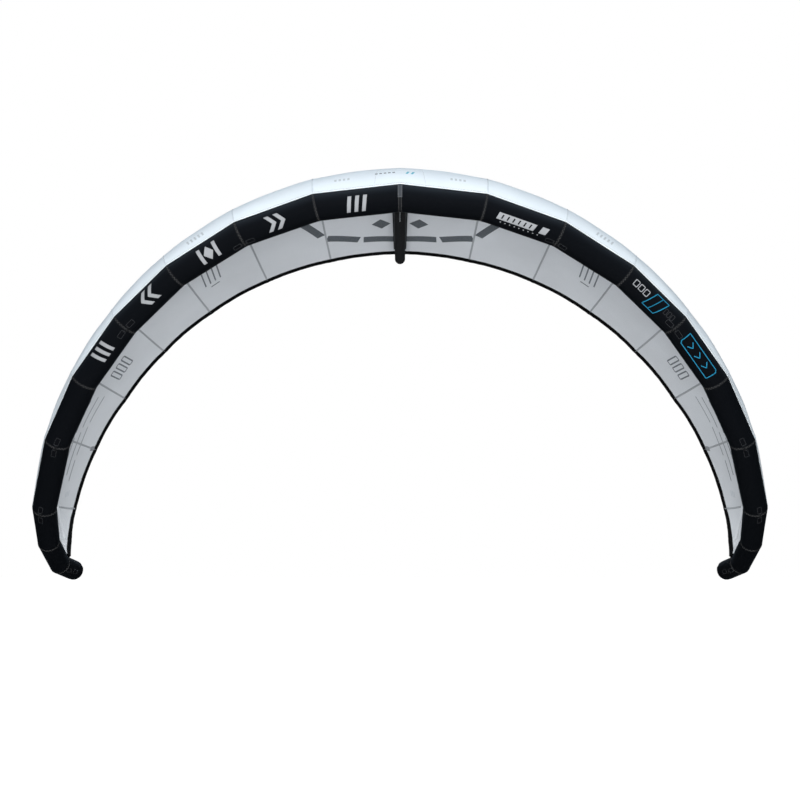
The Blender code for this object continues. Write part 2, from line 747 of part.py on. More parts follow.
def hanging_loop(name, station, angle, side):
    """A loop on the tube at a station, with an empty on the line through its two roots."""
    panel = min(int(station) + 1, TUBE_PANELS)
    step = LOOP_HALF_WIDTH / panel_length(panel)
    lift = ROOT_THICKNESS / 2 + SEAT_GAP
    first = mirrored(tube_point(station - step, angle, lift), side)
    last = mirrored(tube_point(station + step, angle, lift), side)
    axis = (last - first).normalized() * side
    hang = (DOWN - axis * DOWN.dot(axis)).normalized()
    across = (-hang).cross(axis)
    hinge = bpy.data.objects.new(name + "_hinge", None)
    KITE.objects.link(hinge)
    hinge.empty_display_size = LOOP_HEIGHT
    turn = Matrix((axis, across, -hang)).transposed().to_4x4()
    hinge.matrix_world = Matrix.Translation((first + last) / 2) @ turn
    loop = new_object(name, lofted(name, loop_rings()), WEBBING)
    loop.parent = hinge
    return loop


# Tip battens on the inner face of the last canopy panels.


def tip_batten(side):
    """A flat rod on the cloth's inner face, bent with it at the panel's own columns."""
    seats = []
    for station, depth_share in zip(BATTEN_STATIONS, BATTEN_DEPTH_SHARES):
        seats.append(grid_point(station, depth_share))
    sections = []
    for place, station in enumerate(BATTEN_STATIONS):
        before, after = neighbours(seats, place)
        wide = grid_point(station, 1) - seats[place]
        inward = wide.cross(after - before).normalized()
        wide = (after - before).cross(inward).normalized()
        near = CLOTH / 2 + SEAM_GAP + SEAT_GAP
        far = near + BATTEN_THICKNESS
        half_width = BATTEN_WIDTH / 2
        corners = ((-half_width, near), (half_width, near), (half_width, far), (-half_width, far))
        sections.append([mirrored(seats[place] + wide * run + inward * lift, side) for run, lift in corners])
    half = "right" if side > 0 else "left"
    name = f"tip_batten_{half}"
    return new_object(name, lofted(name, sections), BATTEN_GLASS)


# Inflation valve on the rear of the first right-hand tube panel.


def valve_place():
    station = VALVE_X / SEAM_CENTRES[1].x
    centre = tube_frame(station)[0]
    surface = centre.y + tube_radius(station)
    return Vector((VALVE_X, surface, centre.z))


def valve_frame(depth=0.0):
    """Local +Z points out of the valve, along world +Y, and local +Y is world up."""
    turn = Matrix(((-1, 0, 0), (0, 0, 1), (0, 1, 0))).to_4x4()
    return Matrix.Translation(valve_place() + CHORDWISE * depth) @ turn


def inflation_valve(sleeve, bladder):
    place = valve_place()
    lip = VALVE_NECK_RADIUS - (VALVE_NECK_RADIUS - VALVE_BORE_RADIUS) / 2
    flange = turned("inflation_valve_seat",
                    ((lip, VALVE_FLANGE_HEIGHT), (VALVE_SHOULDER_RADIUS, VALVE_FLANGE_HEIGHT),
                     (VALVE_FLANGE_RADIUS, VALVE_FLANGE_EDGE), (VALVE_FLANGE_RADIUS, -VALVE_FLANGE_HEIGHT),
                     (lip, -VALVE_FLANGE_HEIGHT)),
                    VALVE_SIDES, VALVE_PLASTIC, valve_frame())
    rings = [tube_ring(station, SEAT_GAP, SLEEVE_SIDES) for station in (0, 1)]
    saddle = as_cutter(new_object("tube_saddle", lofted("tube_saddle", rings), BLACK_CLOTH, CUTTERS))
    add_boolean(flange, saddle)
    neck = turned("valve_neck",
                  ((VALVE_BORE_RADIUS, VALVE_FLANGE_HEIGHT), (VALVE_NECK_RADIUS, VALVE_FLANGE_HEIGHT),
                   (VALVE_NECK_RADIUS, -VALVE_NECK_DEPTH), (VALVE_BORE_RADIUS, -VALVE_NECK_DEPTH)),
                  VALVE_SIDES, VALVE_PLASTIC, valve_frame(), CUTTERS)
    add_boolean(flange, as_cutter(neck), "UNION")
    reach = VALVE_NECK_DEPTH + OVERRUN
    hole = cylinder_cutter("valve_hole", place - CHORDWISE * reach, place + CHORDWISE * reach,
                           VALVE_NECK_RADIUS + SEAM_GAP, VALVE_SIDES, BLACK_CLOTH)
    add_boolean(sleeve, hole)
    add_boolean(bladder, hole)

    outer = VALVE_BORE_RADIUS - SEAT_GAP
    rim_low = VALVE_FLANGE_HEIGHT + SEAT_GAP
    rim_top = rim_low + INSERT_RIM_HEIGHT
    low = -VALVE_NECK_DEPTH - INSERT_OVERHANG
    turned("inflation_valve_insert",
           ((INSERT_BORE_RADIUS, rim_top), (INSERT_RIM_RADIUS, rim_top), (INSERT_RIM_RADIUS, rim_low),
            (outer, rim_low), (outer, low), (INSERT_BORE_RADIUS, low)),
           VALVE_SIDES, VALVE_PLASTIC, valve_frame())

    flap_depth = low - SEAT_GAP - FLAP_THICKNESS / 2
    flap_hinge = bpy.data.objects.new("valve_flap_hinge", None)
    KITE.objects.link(flap_hinge)
    flap_hinge.matrix_world = valve_frame(flap_depth) @ Matrix.Translation((0, FLAP_RADIUS, 0))
    flap = disc("inflation_valve_flap", FLAP_RADIUS, FLAP_THICKNESS, VALVE_SIDES, FLAP_RUBBER)
    flap.parent = flap_hinge
    flap.location = (0, -FLAP_RADIUS, 0)

    cap_low = rim_top + SEAT_GAP
    cap_hinge = bpy.data.objects.new("valve_cap_hinge", None)
    KITE.objects.link(cap_hinge)
    hinge_reach = INSERT_RIM_RADIUS + CAP_HINGE_REACH
    cap_hinge.matrix_world = valve_frame(cap_low + CAP_HEIGHT / 2) @ Matrix.Translation((0, hinge_reach, 0))
    plug = INSERT_BORE_RADIUS - CAP_PLUG_CLEARANCE
    half = CAP_HEIGHT / 2
    cap = solid_turned("inflation_valve_cap",
                       ((INSERT_RIM_RADIUS - CAP_EDGE, half), (INSERT_RIM_RADIUS, half - CAP_EDGE),
                        (INSERT_RIM_RADIUS, -half), (plug, -half), (plug, -half - CAP_PLUG_DEPTH)),
                       VALVE_SIDES, VALVE_PLASTIC)
    cap.parent = cap_hinge
    cap.location = (0, -hinge_reach, 0)


def solid_turned(name, profile, sides, material):
    """A solid of revolution: its profile runs from top to bottom and both ends are filled."""
    turns = [2 * math.pi * place / sides for place in range(sides)]
    rings = [[Vector((radius * math.cos(turn), radius * math.sin(turn), height)) for turn in turns]
             for radius, height in profile]
    return new_object(name, lofted(name, rings), material)


# Transfer hose with its ports and clamp.


def tube_port():
    """Foot and direction of the port on the leading-edge bladder."""
    foot = tube_point(TUBE_PORT_STATION, TUBE_PORT_ANGLE)
    return foot, (foot - tube_frame(TUBE_PORT_STATION)[0]).normalized()


def strut_port():
    """Foot and direction of the port on the side of the strut bladder."""
    radius = strut_radius(STRUT_PORT_SHARE)
    centre, _, _ = strut_axis(STRUT_PORT_SHARE, radius)
    outward = Vector((1, 0, 0))
    return centre + outward * radius, outward


def add_port(bladder, core, sleeve, foot, direction, name):
    """A welded spigot through the sleeve, bored into the bladder's hollow."""
    root = foot - direction * PORT_ROOT
    end = foot + direction * PORT_LENGTH
    stub = cylinder_cutter(name, root, end, PORT_RADIUS, PORT_SIDES, BLADDER_FILM)
    add_boolean(bladder, stub, "UNION")
    add_boolean(bladder, core)
    bore = cylinder_cutter(name + "_bore", root - direction * OVERRUN, end + direction * OVERRUN,
                           PORT_BORE_RADIUS, PORT_SIDES, BLADDER_FILM)
    add_boolean(bladder, bore)
    hole = cylinder_cutter(name + "_hole", root, end, PORT_RADIUS + SEAM_GAP, PORT_SIDES, BLACK_CLOTH)
    add_boolean(sleeve, hole)


def hose_route():
    """Points of the hose: straight off each port, with one smooth bend between."""
    first, out_first = tube_port()
    last, out_last = strut_port()
    leave = first + out_first * HOSE_LEAD
    arrive = last + out_last * HOSE_LEAD
    handles = (leave, leave + out_first * HOSE_HANDLE, arrive + out_last * HOSE_HANDLE, arrive)
    bend = [bezier(handles, step / HOSE_STEPS) for step in range(HOSE_STEPS + 1)]
    return [first + out_first * SEAT_GAP] + bend + [last + out_last * SEAT_GAP]


def hose_curve(name, radius, extra):
    """A smooth tube from port to port, lengthened at both ends by the given amount."""
    points = hose_route()
    if extra:
        first = points[0] + (points[0] - points[1]).normalized() * extra
        last = points[-1] + (points[-1] - points[-2]).normalized() * extra
        points = [first] + points[1:-1] + [last]
    data = bpy.data.curves.new(name, "CURVE")
    data.dimensions = "3D"
    data.bevel_depth = radius
    data.bevel_resolution = 4
    data.use_fill_caps = True
    spline = data.splines.new("POLY")
    spline.points.add(len(points) - 1)
    for slot, point in zip(spline.points, points):
        slot.co = (*point, 1)
    return mesh_of_curve(name, data)


def transfer_hose():
    hose = new_object("transfer_hose", hose_curve("transfer_hose", HOSE_RADIUS, 0), HOSE_SILICONE)
    core = hose_curve("hose_bore", HOSE_BORE_RADIUS, OVERRUN)
    add_boolean(hose, as_cutter(new_object("hose_bore", core, HOSE_SILICONE, CUTTERS)))
    return hose


def hose_clamp():
    """A collar on the middle of the hose and the lever that turns on its pin."""
    route = hose_route()
    low = len(route) // 2 - 1
    middle = (route[low] + route[low + 1]) / 2
    along = (route[low + 1] - route[low]).normalized()
    pin_out = (DOWN - along * DOWN.dot(along)).normalized()
    across = pin_out.cross(along)
    place = Matrix.Translation(middle) @ Matrix((across, pin_out, along)).transposed().to_4x4()
    half = COLLAR_LENGTH / 2
    bore = HOSE_RADIUS + COLLAR_CLEARANCE
    collar = turned("hose_clamp_collar",
                    ((bore, half), (COLLAR_RADIUS - COLLAR_EDGE, half), (COLLAR_RADIUS, half - COLLAR_EDGE),
                     (COLLAR_RADIUS, COLLAR_EDGE - half), (COLLAR_RADIUS - COLLAR_EDGE, -half),
                     (bore, -half)),
                    VALVE_SIDES, CLAMP_PLASTIC, place)
    pin = cylinder_cutter("clamp_pin", middle + pin_out * (COLLAR_RADIUS - PIN_ROOT),
                          middle + pin_out * (COLLAR_RADIUS + PIN_LENGTH),
                          PIN_RADIUS, PORT_SIDES, CLAMP_PLASTIC)
    add_boolean(collar, pin, "UNION")

    lever_centre = middle + pin_out * (COLLAR_RADIUS + SEAT_GAP + LEVER_THICKNESS / 2)
    hinge = bpy.data.objects.new("clamp_lever_hinge", None)
    KITE.objects.link(hinge)
    turn = Matrix((along, across, pin_out)).transposed().to_4x4()
    hinge.matrix_world = Matrix.Translation(lever_centre) @ turn
    clamp_lever().parent = hinge


def circle_points(radius, first_turn, last_turn, count):
    turns = even_steps(first_turn, last_turn, count)
    return [(radius * math.cos(turn), radius * math.sin(turn)) for turn in turns]


def clamp_lever():
    """A flat lever with an eye for the collar's pin, a round end and a narrower grip end."""
    outline = bpy.data.curves.new("hose_clamp_lever", "CURVE")
    outline.dimensions = "2D"
    outline.fill_mode = "BOTH"
    outline.extrude = LEVER_THICKNESS / 2
    shoulder = LEVER_LENGTH - LEVER_TIP_HALF_WIDTH
    points = circle_points(LEVER_WIDTH / 2, math.pi / 2, 3 * math.pi / 2, LEVER_ROUND_STEPS)
    points += [(shoulder, -LEVER_TIP_HALF_WIDTH), (LEVER_LENGTH, 0), (shoulder, LEVER_TIP_HALF_WIDTH)]
    eye = circle_points(PIN_RADIUS + LEVER_CLEARANCE, 0, 2 * math.pi, PORT_SIDES)[:-1]
    for loop in (points, eye):
        spline = outline.splines.new("POLY")
        spline.points.add(len(loop) - 1)
        for slot, point in zip(spline.points, loop):
            slot.co = (*point, 0, 1)
        spline.use_cyclic_u = True
    return new_object("hose_clamp_lever", mesh_of_curve("hose_clamp_lever", outline), CLAMP_PLASTIC)


def build():
    sleeves = {}
    for side in (1, -1):
        for panel in range(1, TUBE_PANELS + 1):
            sleeves[side, panel] = leading_edge_panel(panel, side)
        for panel in range(1, CANOPY_PANELS + 1):
            canopy_panel(panel, side)
        trailing_edge_tape(side)
        tip_batten(side)
        half = "right" if side > 0 else "left"
        for seam, angle in BRIDLE_SEAM_ANGLES.items():
            hanging_loop(f"bridle_loop_{half}_{seam}", seam, angle, side)
        hanging_loop(f"rear_line_loop_{half}", REAR_LOOP_STATION, REAR_LOOP_ANGLE, side)

    tube_bladder, tube_core = leading_edge_bladder()
    strut = strut_sleeve()
    strut_film, strut_core = strut_bladder()
    rings = [[mirrored(point, -1) for point in tube_ring(1, SEAT_GAP, SLEEVE_SIDES)],
             tube_ring(0, SEAT_GAP, SLEEVE_SIDES), tube_ring(1, SEAT_GAP, SLEEVE_SIDES)]
    nose = as_cutter(new_object("strut_nose_cut", lofted("strut_nose_cut", rings), BLACK_CLOTH, CUTTERS))
    add_boolean(strut, nose)
    add_port(tube_bladder, tube_core, sleeves[1, 1], *tube_port(), "tube_port")
    add_port(strut_film, strut_core, strut, *strut_port(), "strut_port")
    inflation_valve(sleeves[1, 1], tube_bladder)
    transfer_hose()
    hose_clamp()


build()
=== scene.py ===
import json
import math

import bmesh
import bpy
import numpy as np
from mathutils import Matrix, Vector, noise


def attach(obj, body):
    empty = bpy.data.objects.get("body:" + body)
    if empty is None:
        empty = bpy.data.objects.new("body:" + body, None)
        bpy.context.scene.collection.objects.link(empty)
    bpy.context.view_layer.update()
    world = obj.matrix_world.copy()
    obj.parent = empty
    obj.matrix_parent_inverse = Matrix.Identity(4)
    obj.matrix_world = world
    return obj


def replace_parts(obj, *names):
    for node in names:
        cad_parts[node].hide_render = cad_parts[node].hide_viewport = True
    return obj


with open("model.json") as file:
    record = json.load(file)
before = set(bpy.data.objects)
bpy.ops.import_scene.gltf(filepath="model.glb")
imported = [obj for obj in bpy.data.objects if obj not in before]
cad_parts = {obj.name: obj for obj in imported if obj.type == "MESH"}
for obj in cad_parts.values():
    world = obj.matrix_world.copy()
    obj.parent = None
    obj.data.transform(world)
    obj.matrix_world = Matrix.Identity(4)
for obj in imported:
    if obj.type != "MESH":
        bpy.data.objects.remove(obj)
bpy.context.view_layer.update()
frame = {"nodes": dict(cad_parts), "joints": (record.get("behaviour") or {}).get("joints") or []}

# The studio: a plain white room with one broad soft lamp in front and one behind. The camera stands in
# front of the kite at the height of its tips and looks up a little. The floor lies well below, where a
# kite held up by the air would cast its shadow.
camera_data = bpy.data.cameras.new("camera")
photo_side, photo_focal, photo_horizon_row = 800, 1233, 515
camera_data.sensor_width = 36
camera_data.lens = camera_data.sensor_width * photo_focal / photo_side
camera = bpy.data.objects.new("camera", camera_data)
camera.location = (0, -8.2, -2.146)
camera.rotation_euler = (math.pi / 2 + math.atan((photo_horizon_row - photo_side / 2) / photo_focal), 0, 0)
bpy.context.scene.collection.objects.link(camera)
bpy.context.scene.camera = camera
bpy.context.scene.view_settings.view_transform = "Standard"


def add_node(tree, kind, inputs=(), **settings):
    """One shader node, with its settings, and a value or a link for each input named."""
    node = tree.nodes.new(kind)
    for name, value in settings.items():
        setattr(node, name, value)
    for name, value in dict(inputs).items():
        if isinstance(value, bpy.types.NodeSocket):
            tree.links.new(value, node.inputs[name])
        else:
            node.inputs[name].default_value = value
    return node


def graded(tree, value, low, high, start=0.0, end=1.0):
    """A value carried over from one range to another and kept inside it."""
    return add_node(tree, "ShaderNodeMapRange", {"Value": value, "From Min": start, "From Max": end,
                                                 "To Min": low, "To Max": high}).outputs[0]


def seen_rays(tree):
    """1 on the rays that show the background: straight to the camera or through glass."""
    rays = add_node(tree, "ShaderNodeLightPath")
    seen, passed = rays.outputs["Is Camera Ray"], rays.outputs["Is Transmission Ray"]
    return add_node(tree, "ShaderNodeMath", {0: seen, 1: passed}, operation="MAXIMUM").outputs[0]


light_above, light_below, gloss_above, gloss_below = 0.30, 0.49, 2.2, 0.03
room = bpy.data.worlds.new("white_room")
room.use_nodes = True
bpy.context.scene.world = room
sky = room.node_tree
way_up = add_node(sky, "ShaderNodeSeparateXYZ",
                  {0: add_node(sky, "ShaderNodeTexCoord").outputs["Generated"]}).outputs["Z"]
plain = graded(sky, way_up, light_below, light_above, -0.4, 0.6)
gloss = graded(sky, way_up, gloss_below, gloss_above, 0.3, 1.0)
glossy_ray = add_node(sky, "ShaderNodeLightPath").outputs["Is Glossy Ray"]
strength = add_node(sky, "ShaderNodeMix", {0: glossy_ray, 2: plain, 3: gloss}).outputs[0]
tint = add_node(sky, "ShaderNodeMix", {0: glossy_ray, 6: (0.93, 0.965, 1.0, 1), 7: (0.58, 0.73, 0.90, 1)},
                data_type="RGBA").outputs[2]
dim = add_node(sky, "ShaderNodeBackground", {"Color": tint, "Strength": strength})
white = add_node(sky, "ShaderNodeBackground", {"Color": (1, 1, 1, 1), "Strength": 1.0})
shown = add_node(sky, "ShaderNodeMixShader", {0: seen_rays(sky), 1: dim.outputs[0], 2: white.outputs[0]})
sky.links.new(shown.outputs[0], sky.nodes["World Output"].inputs["Surface"])

lamp_size, lamp_colour = 6.0, (0.95, 0.975, 0.99)
for name, energy, place, tilt in (("front_lamp", 1370, (0, -9.4, -0.6), 90),
                                  ("rear_lamp", 1100, (0, 11.0, 1.8), -74)):
    lamp_data = bpy.data.lights.new(name, "AREA")
    lamp_data.shape = "DISK"
    lamp_data.size = lamp_size
    lamp_data.energy = energy
    lamp_data.color = lamp_colour
    lamp = bpy.data.objects.new(name, lamp_data)
    lamp.location = place
    lamp.rotation_euler = (math.radians(tilt), 0, 0)
    lamp.visible_glossy = False
    bpy.context.scene.collection.objects.link(lamp)

floor_level, floor_half = -5.6, 60.0
floor_glow_start, floor_glow_end = 5.8, 12.0
floor_corners = [(x * floor_half, y * floor_half, floor_level)
                 for x, y in ((-1, -1), (1, -1), (1, 1), (-1, 1))]
floor_mesh = bpy.data.meshes.new("floor")
floor_mesh.from_pydata(floor_corners, [], [(0, 1, 2, 3)])
floor = bpy.data.objects.new("floor", floor_mesh)
bpy.context.scene.collection.objects.link(floor)
paint = bpy.data.materials.new("floor_paint")
paint.use_nodes = True
coat = paint.node_tree
coat.nodes.clear()
place = add_node(coat, "ShaderNodeTexCoord").outputs["Object"]
away = add_node(coat, "ShaderNodeVectorMath", {0: place}, operation="LENGTH").outputs["Value"]
glow = graded(coat, away, 0.40, 1.0, floor_glow_start, floor_glow_end)
matt = add_node(coat, "ShaderNodeBsdfDiffuse", {"Color": (0.62, 0.62, 0.62, 1)})
lit = add_node(coat, "ShaderNodeEmission", {"Color": (1, 1, 1, 1), "Strength": glow})
both = add_node(coat, "ShaderNodeAddShader", {0: matt.outputs[0], 1: lit.outputs[0]})
dark = add_node(coat, "ShaderNodeBsdfDiffuse", {"Color": (0.57, 0.57, 0.58, 1)})
mixed = add_node(coat, "ShaderNodeMixShader", {0: seen_rays(coat), 1: dark.outputs[0], 2: both.outputs[0]})
add_node(coat, "ShaderNodeOutputMaterial", {"Surface": mixed.outputs[0]})
floor_mesh.materials.append(paint)
floor.visible_glossy = False


# Leading-edge sleeve: ten cut panels a side of black woven polyester, sewn end to end into one tapering
# tube that the inner bladder blows up hard. Each panel stays straight and the sleeve bends at its seams,
# where the cloth dips and puckers, most on the inside of the bend.
half_span, arch_drop, tip_sweep = 2.694, 2.593, 1.870
span_shares = (0.0, 0.2115, 0.4055, 0.577, 0.7105, 0.823, 0.912, 0.984, 1.0, 0.999, 0.980)
drop_shares = (0.0, 0.0207, 0.086, 0.1905, 0.3175, 0.4665, 0.6245, 0.8075, 0.908, 0.9765, 1.0)
sweep_shares = (0.0, 0.021, 0.059, 0.107, 0.155, 0.222, 0.342, 0.551, 0.706, 0.872, 1.0)
tube_radius = 0.100
tube_radius_shares = (1.0, 0.99, 0.97, 0.95, 0.945, 0.94, 0.915, 0.88, 0.82, 0.79, 0.77)
panel_count = 10
dome_depth = 0.050
dome_turns = np.radians((10, 20, 30, 40, 50, 60, 70, 79, 86))
sleeve_sides = 120
sleeve_thickness = 0.0006
seam_centres = [Vector((half_span * out, tip_sweep * back, -arch_drop * down))
                for out, back, down in zip(span_shares, sweep_shares, drop_shares)]


def seam_frame(seam):
    """Directions along the tube, out of the arch and to the rear, at a seam."""
    along = Vector((1, 0, 0))
    if seam:
        along = (seam_centres[seam] - seam_centres[seam - 1]).normalized()
        if seam < panel_count:
            along += (seam_centres[seam + 1] - seam_centres[seam]).normalized()
        along.normalize()
    outward = Vector((-along.z, 0, along.x)).normalized()
    return along, outward, outward.cross(along)


seam_frames = [seam_frame(seam) for seam in range(panel_count + 1)]
carried = [seam_frames[0]]
for before, after in zip(seam_frames, seam_frames[1:]):
    spin = before[0].rotation_difference(after[0])
    carried.append((after[0], spin @ carried[-1][1], spin @ carried[-1][2]))
twists = [math.atan2(-true[1].dot(kept[2]), true[1].dot(kept[1])) for true, kept in zip(seam_frames, carried)]
panel_lengths = [(last - first).length for first, last in zip(seam_centres, seam_centres[1:])]


def between(knots, values, where):
    return float(np.interp(where, knots, values))


def radius_at(station):
    return tube_radius * between(range(panel_count + 1), tube_radius_shares, station)


def twist_at(station):
    return between(range(panel_count + 1), twists, station)


def ring_point(seam, turn, reach):
    _, outward, rearward = carried[seam]
    return seam_centres[seam] + outward * (reach * math.cos(turn)) - rearward * (reach * math.sin(turn))


def tube_centre(station):
    low = min(int(station), panel_count - 1)
    return seam_centres[low].lerp(seam_centres[low + 1], station - low)


def tube_frame(station):
    low = min(int(station), panel_count - 1)
    return [first.lerp(last, station - low).normalized()
            for first, last in zip(seam_frames[low], seam_frames[low + 1])]


pucker_depth, pucker_reach = 0.0011, 0.045
crease_depth, crease_reach = 0.0010, 0.12
slack_depth, seam_dip, seam_dip_reach = 0.0007, 0.0013, 0.010


def sleeve_relief(station, turn):
    """How far the cloth stands off its round section: dips at the seams and puckers that die out."""
    seam = round(station)
    low = min(int(station), panel_count - 1)
    gap = abs(station - seam) * panel_lengths[low]
    inner = max(0.0, -math.cos(turn - twist_at(station)))
    wander = noise.noise(Vector((4 * math.cos(turn), 4 * math.sin(turn), seam * 3.7)))
    pucker = math.sin(turn * 23 + wander * 5) * (0.00035 + pucker_depth * inner ** 2)
    pucker = pucker * math.exp(-gap / pucker_reach)
    crease = math.sin(turn * 9 + seam * 2.3) * crease_depth * inner ** 3 * math.exp(-gap / crease_reach)
    slack = slack_depth * noise.noise(Vector((3 * math.cos(turn), 3 * math.sin(turn), station * 5)))
    return pucker + crease + slack - seam_dip * math.exp(-(gap / seam_dip_reach) ** 2)


def sleeve_ring(station, lift=0.0):
    """The sleeve's section at a station, its corners carried straight from seam to seam."""
    low = min(int(station), panel_count - 1)
    part = station - low
    ring = []
    for side in range(sleeve_sides):
        turn = 2 * math.pi * side / sleeve_sides
        relief = sleeve_relief(station, turn) + lift
        first = ring_point(low, turn, radius_at(low) + relief)
        last = ring_point(low + 1, turn, radius_at(low + 1) + relief)
        ring.append(first.lerp(last, part))
    return ring


def panel_stations(panel):
    """Stations of a panel's rings: close together by its seams, far apart between."""
    length = panel_lengths[panel - 1]
    near = [0.0, 0.004, 0.009, 0.016, 0.026, 0.040, 0.060, 0.090, 0.130, 0.180]
    near = [gap / length for gap in near if gap < length * 0.45]
    middle = list(np.linspace(near[-1], 1 - near[-1], 6)[1:-1])
    return [panel - 1 + part for part in near + middle + [1 - part for part in near[::-1]]]


def tip_dome_rings(last_ring, lift=0.0):
    """Rings that close the tube's end in a rounded cap, down to a small flat."""
    along = (seam_centres[-1] - seam_centres[-2]).normalized()
    rings = []
    for turn in dome_turns:
        shift = along * ((dome_depth + lift) * math.sin(turn))
        rings.append([seam_centres[-1] + (point - seam_centres[-1]) * math.cos(turn) + shift
                      for point in last_ring])
    return rings


class Cloth:
    """A made-up surface kept as a grid of points. What is sewn to it or printed on it follows the grid."""

    def __init__(self, rows, columns, points, turning=False):
        self.rows = np.array(rows, float)
        self.columns = np.array(columns, float)
        self.points = np.array(points, float)
        self.turning = turning
        self.facing = -1 if turning else 1
        along = np.gradient(self.points, self.rows, axis=0)
        if turning:
            across = np.roll(self.points, -1, 1) - np.roll(self.points, 1, 1)
        else:
            across = np.gradient(self.points, self.columns, axis=1)
        normals = np.cross(along, across) * self.facing
        self.normals = normals / np.maximum(np.linalg.norm(normals, axis=2, keepdims=True), 1e-12)

    def at(self, row, column, lift=0.0):
        """Points on the cloth at rows and columns given as arrays, raised by a lift."""
        row, column = np.broadcast_arrays(np.asarray(row, float), np.asarray(column, float))
        low = np.clip(np.searchsorted(self.rows, row, "right") - 1, 0, len(self.rows) - 2)
        part = np.clip((row - self.rows[low]) / (self.rows[low + 1] - self.rows[low]), 0, 1)[..., None]
        if self.turning:
            place = np.mod(column / (2 * math.pi), 1.0) * len(self.columns)
            left = place.astype(int) % len(self.columns)
            right = (left + 1) % len(self.columns)
            share = (place - np.floor(place))[..., None]
        else:
            left = np.clip(np.searchsorted(self.columns, column, "right") - 1, 0, len(self.columns) - 2)
            right = left + 1
            share = (column - self.columns[left]) / (self.columns[right] - self.columns[left])
            share = np.clip(share, 0, 1)[..., None]

        def blended(values):
            first = values[low, left] * (1 - share) + values[low, right] * share
            last = values[low + 1, left] * (1 - share) + values[low + 1, right] * share
            return first * (1 - part) + last * part

        return blended(self.points) + blended(self.normals) * np.asarray(lift, float)[..., None]

    def steps(self, row, column):
        """How the point moves for small changes of row and of column, and the outward direction."""
        small = 0.004
        rows = [np.clip(row + change, self.rows[0], self.rows[-1]) for change in (small, -small)]
        columns = [column + small, column - small]
        if not self.turning:
            columns = [np.clip(place, self.columns[0], self.columns[-1]) for place in columns]
        along = (self.at(rows[0], column) - self.at(rows[1], column)) / (rows[0] - rows[1])[..., None]
        across = (self.at(row, columns[0]) - self.at(row, columns[1])) / (columns[0] - columns[1])[..., None]
        out = np.cross(along, across) * self.facing
        return along, across, out / np.linalg.norm(out, axis=-1, keepdims=True)

    def towards(self, row, column, move):
        """The row and column reached from others by moving so many metres over the cloth."""
        along, across, _ = self.steps(row, column)
        aa, ab, bb = (along * along).sum(-1), (along * across).sum(-1), (across * across).sum(-1)
        ma, mb = (move * along).sum(-1), (move * across).sum(-1)
        spread = aa * bb - ab * ab
        return row + (ma * bb - mb * ab) / spread, column + (mb * aa - ma * ab) / spread

    def sideways(self, rows, columns, reach):
        """A line beside another on the cloth, to its left seen from outside."""
        way = np.gradient(self.at(rows, columns), axis=0)
        way /= np.maximum(np.linalg.norm(way, axis=-1, keepdims=True), 1e-12)
        out = self.steps(rows, columns)[2]
        return self.towards(rows, columns, np.cross(out, way) * np.asarray(reach, float)[..., None])

    def places(self, row, column, east, north):
        """Rows and columns of points given in metres east and north of one place, east along the rows."""
        east, north = np.asarray(east, float), np.asarray(north, float)
        row, column = (np.full(east.shape, float(place)) for place in (row, column))
        along, _, out = self.steps(row, column)
        unit_east = along / np.linalg.norm(along, axis=-1, keepdims=True)
        unit_north = np.cross(out, unit_east)
        return self.towards(row, column, unit_east * east[..., None] + unit_north * north[..., None])


def lengths_along(points):
    """How far along a line of points each of them lies."""
    return np.concatenate(([0.0], np.cumsum(np.linalg.norm(np.diff(points, axis=0), axis=1))))


def new_piece(name, points, faces, material, body="airframe", side=1, uvs=None, flip=False):
    """A mesh of points and faces, mirrored for the left half, that rides on a body of the frame."""
    points = np.array(points, float).reshape(-1, 3) * (side, 1, 1)
    if flip != (side < 0):
        faces = [face[::-1] for face in faces]
        uvs = uvs and [corners[::-1] for corners in uvs]
    mesh = bpy.data.meshes.new(name)
    mesh.from_pydata(points.tolist(), [], faces)
    mesh.shade_smooth()
    mesh.materials.append(material)
    if uvs:
        flat = [place for corners in uvs for corner in corners for place in corner]
        mesh.uv_layers.new(name="cloth").data.foreach_set("uv", flat)
    piece = bpy.data.objects.new(name, mesh)
    bpy.context.scene.collection.objects.link(piece)
    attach(piece, body)
    return piece


def grid_faces(rows, columns, turning=False):
    """Quads between the rows and columns of a grid of points counted row by row."""
    last = columns if turning else columns - 1
    return [[row * columns + column, (row + 1) * columns + column,
             (row + 1) * columns + (column + 1) % columns, row * columns + (column + 1) % columns]
            for row in range(rows - 1) for column in range(last)]


def grid_uvs(easts, norths):
    """The cloth's own metres at the corners of each quad of a grid, from a table of each."""
    places = np.stack(np.broadcast_arrays(easts, norths), -1).tolist()
    return [[first[column], last[column], last[column + 1], first[column + 1]]
            for first, last in zip(places, places[1:]) for column in range(len(first) - 1)]


def thicken(piece, thickness, offset=-1.0):
    shell = piece.modifiers.new("thickness", "SOLIDIFY")
    shell.thickness = thickness
    shell.offset = offset
    return piece


def lined_sheet(name, lines, easts, norths, material, thickness, offset=-1.0, side=1, flip=False):
    """A sheet of cloth through lines of points, with the cloth's own metres across and along them."""
    grid = np.array(lines)
    uvs = grid_uvs(np.array(easts)[:, None], norths)
    piece = new_piece(name, grid, grid_faces(*grid.shape[:2]), material, side=side, uvs=uvs, flip=flip)
    return thicken(piece, thickness, offset)


def slot_material(name, slot):
    """A new material that knows its slot, with its node tree and its shader."""
    material = bpy.data.materials.new(name)
    material["slot"] = slot
    material.use_nodes = True
    return material, material.node_tree, material.node_tree.nodes["Principled BSDF"]


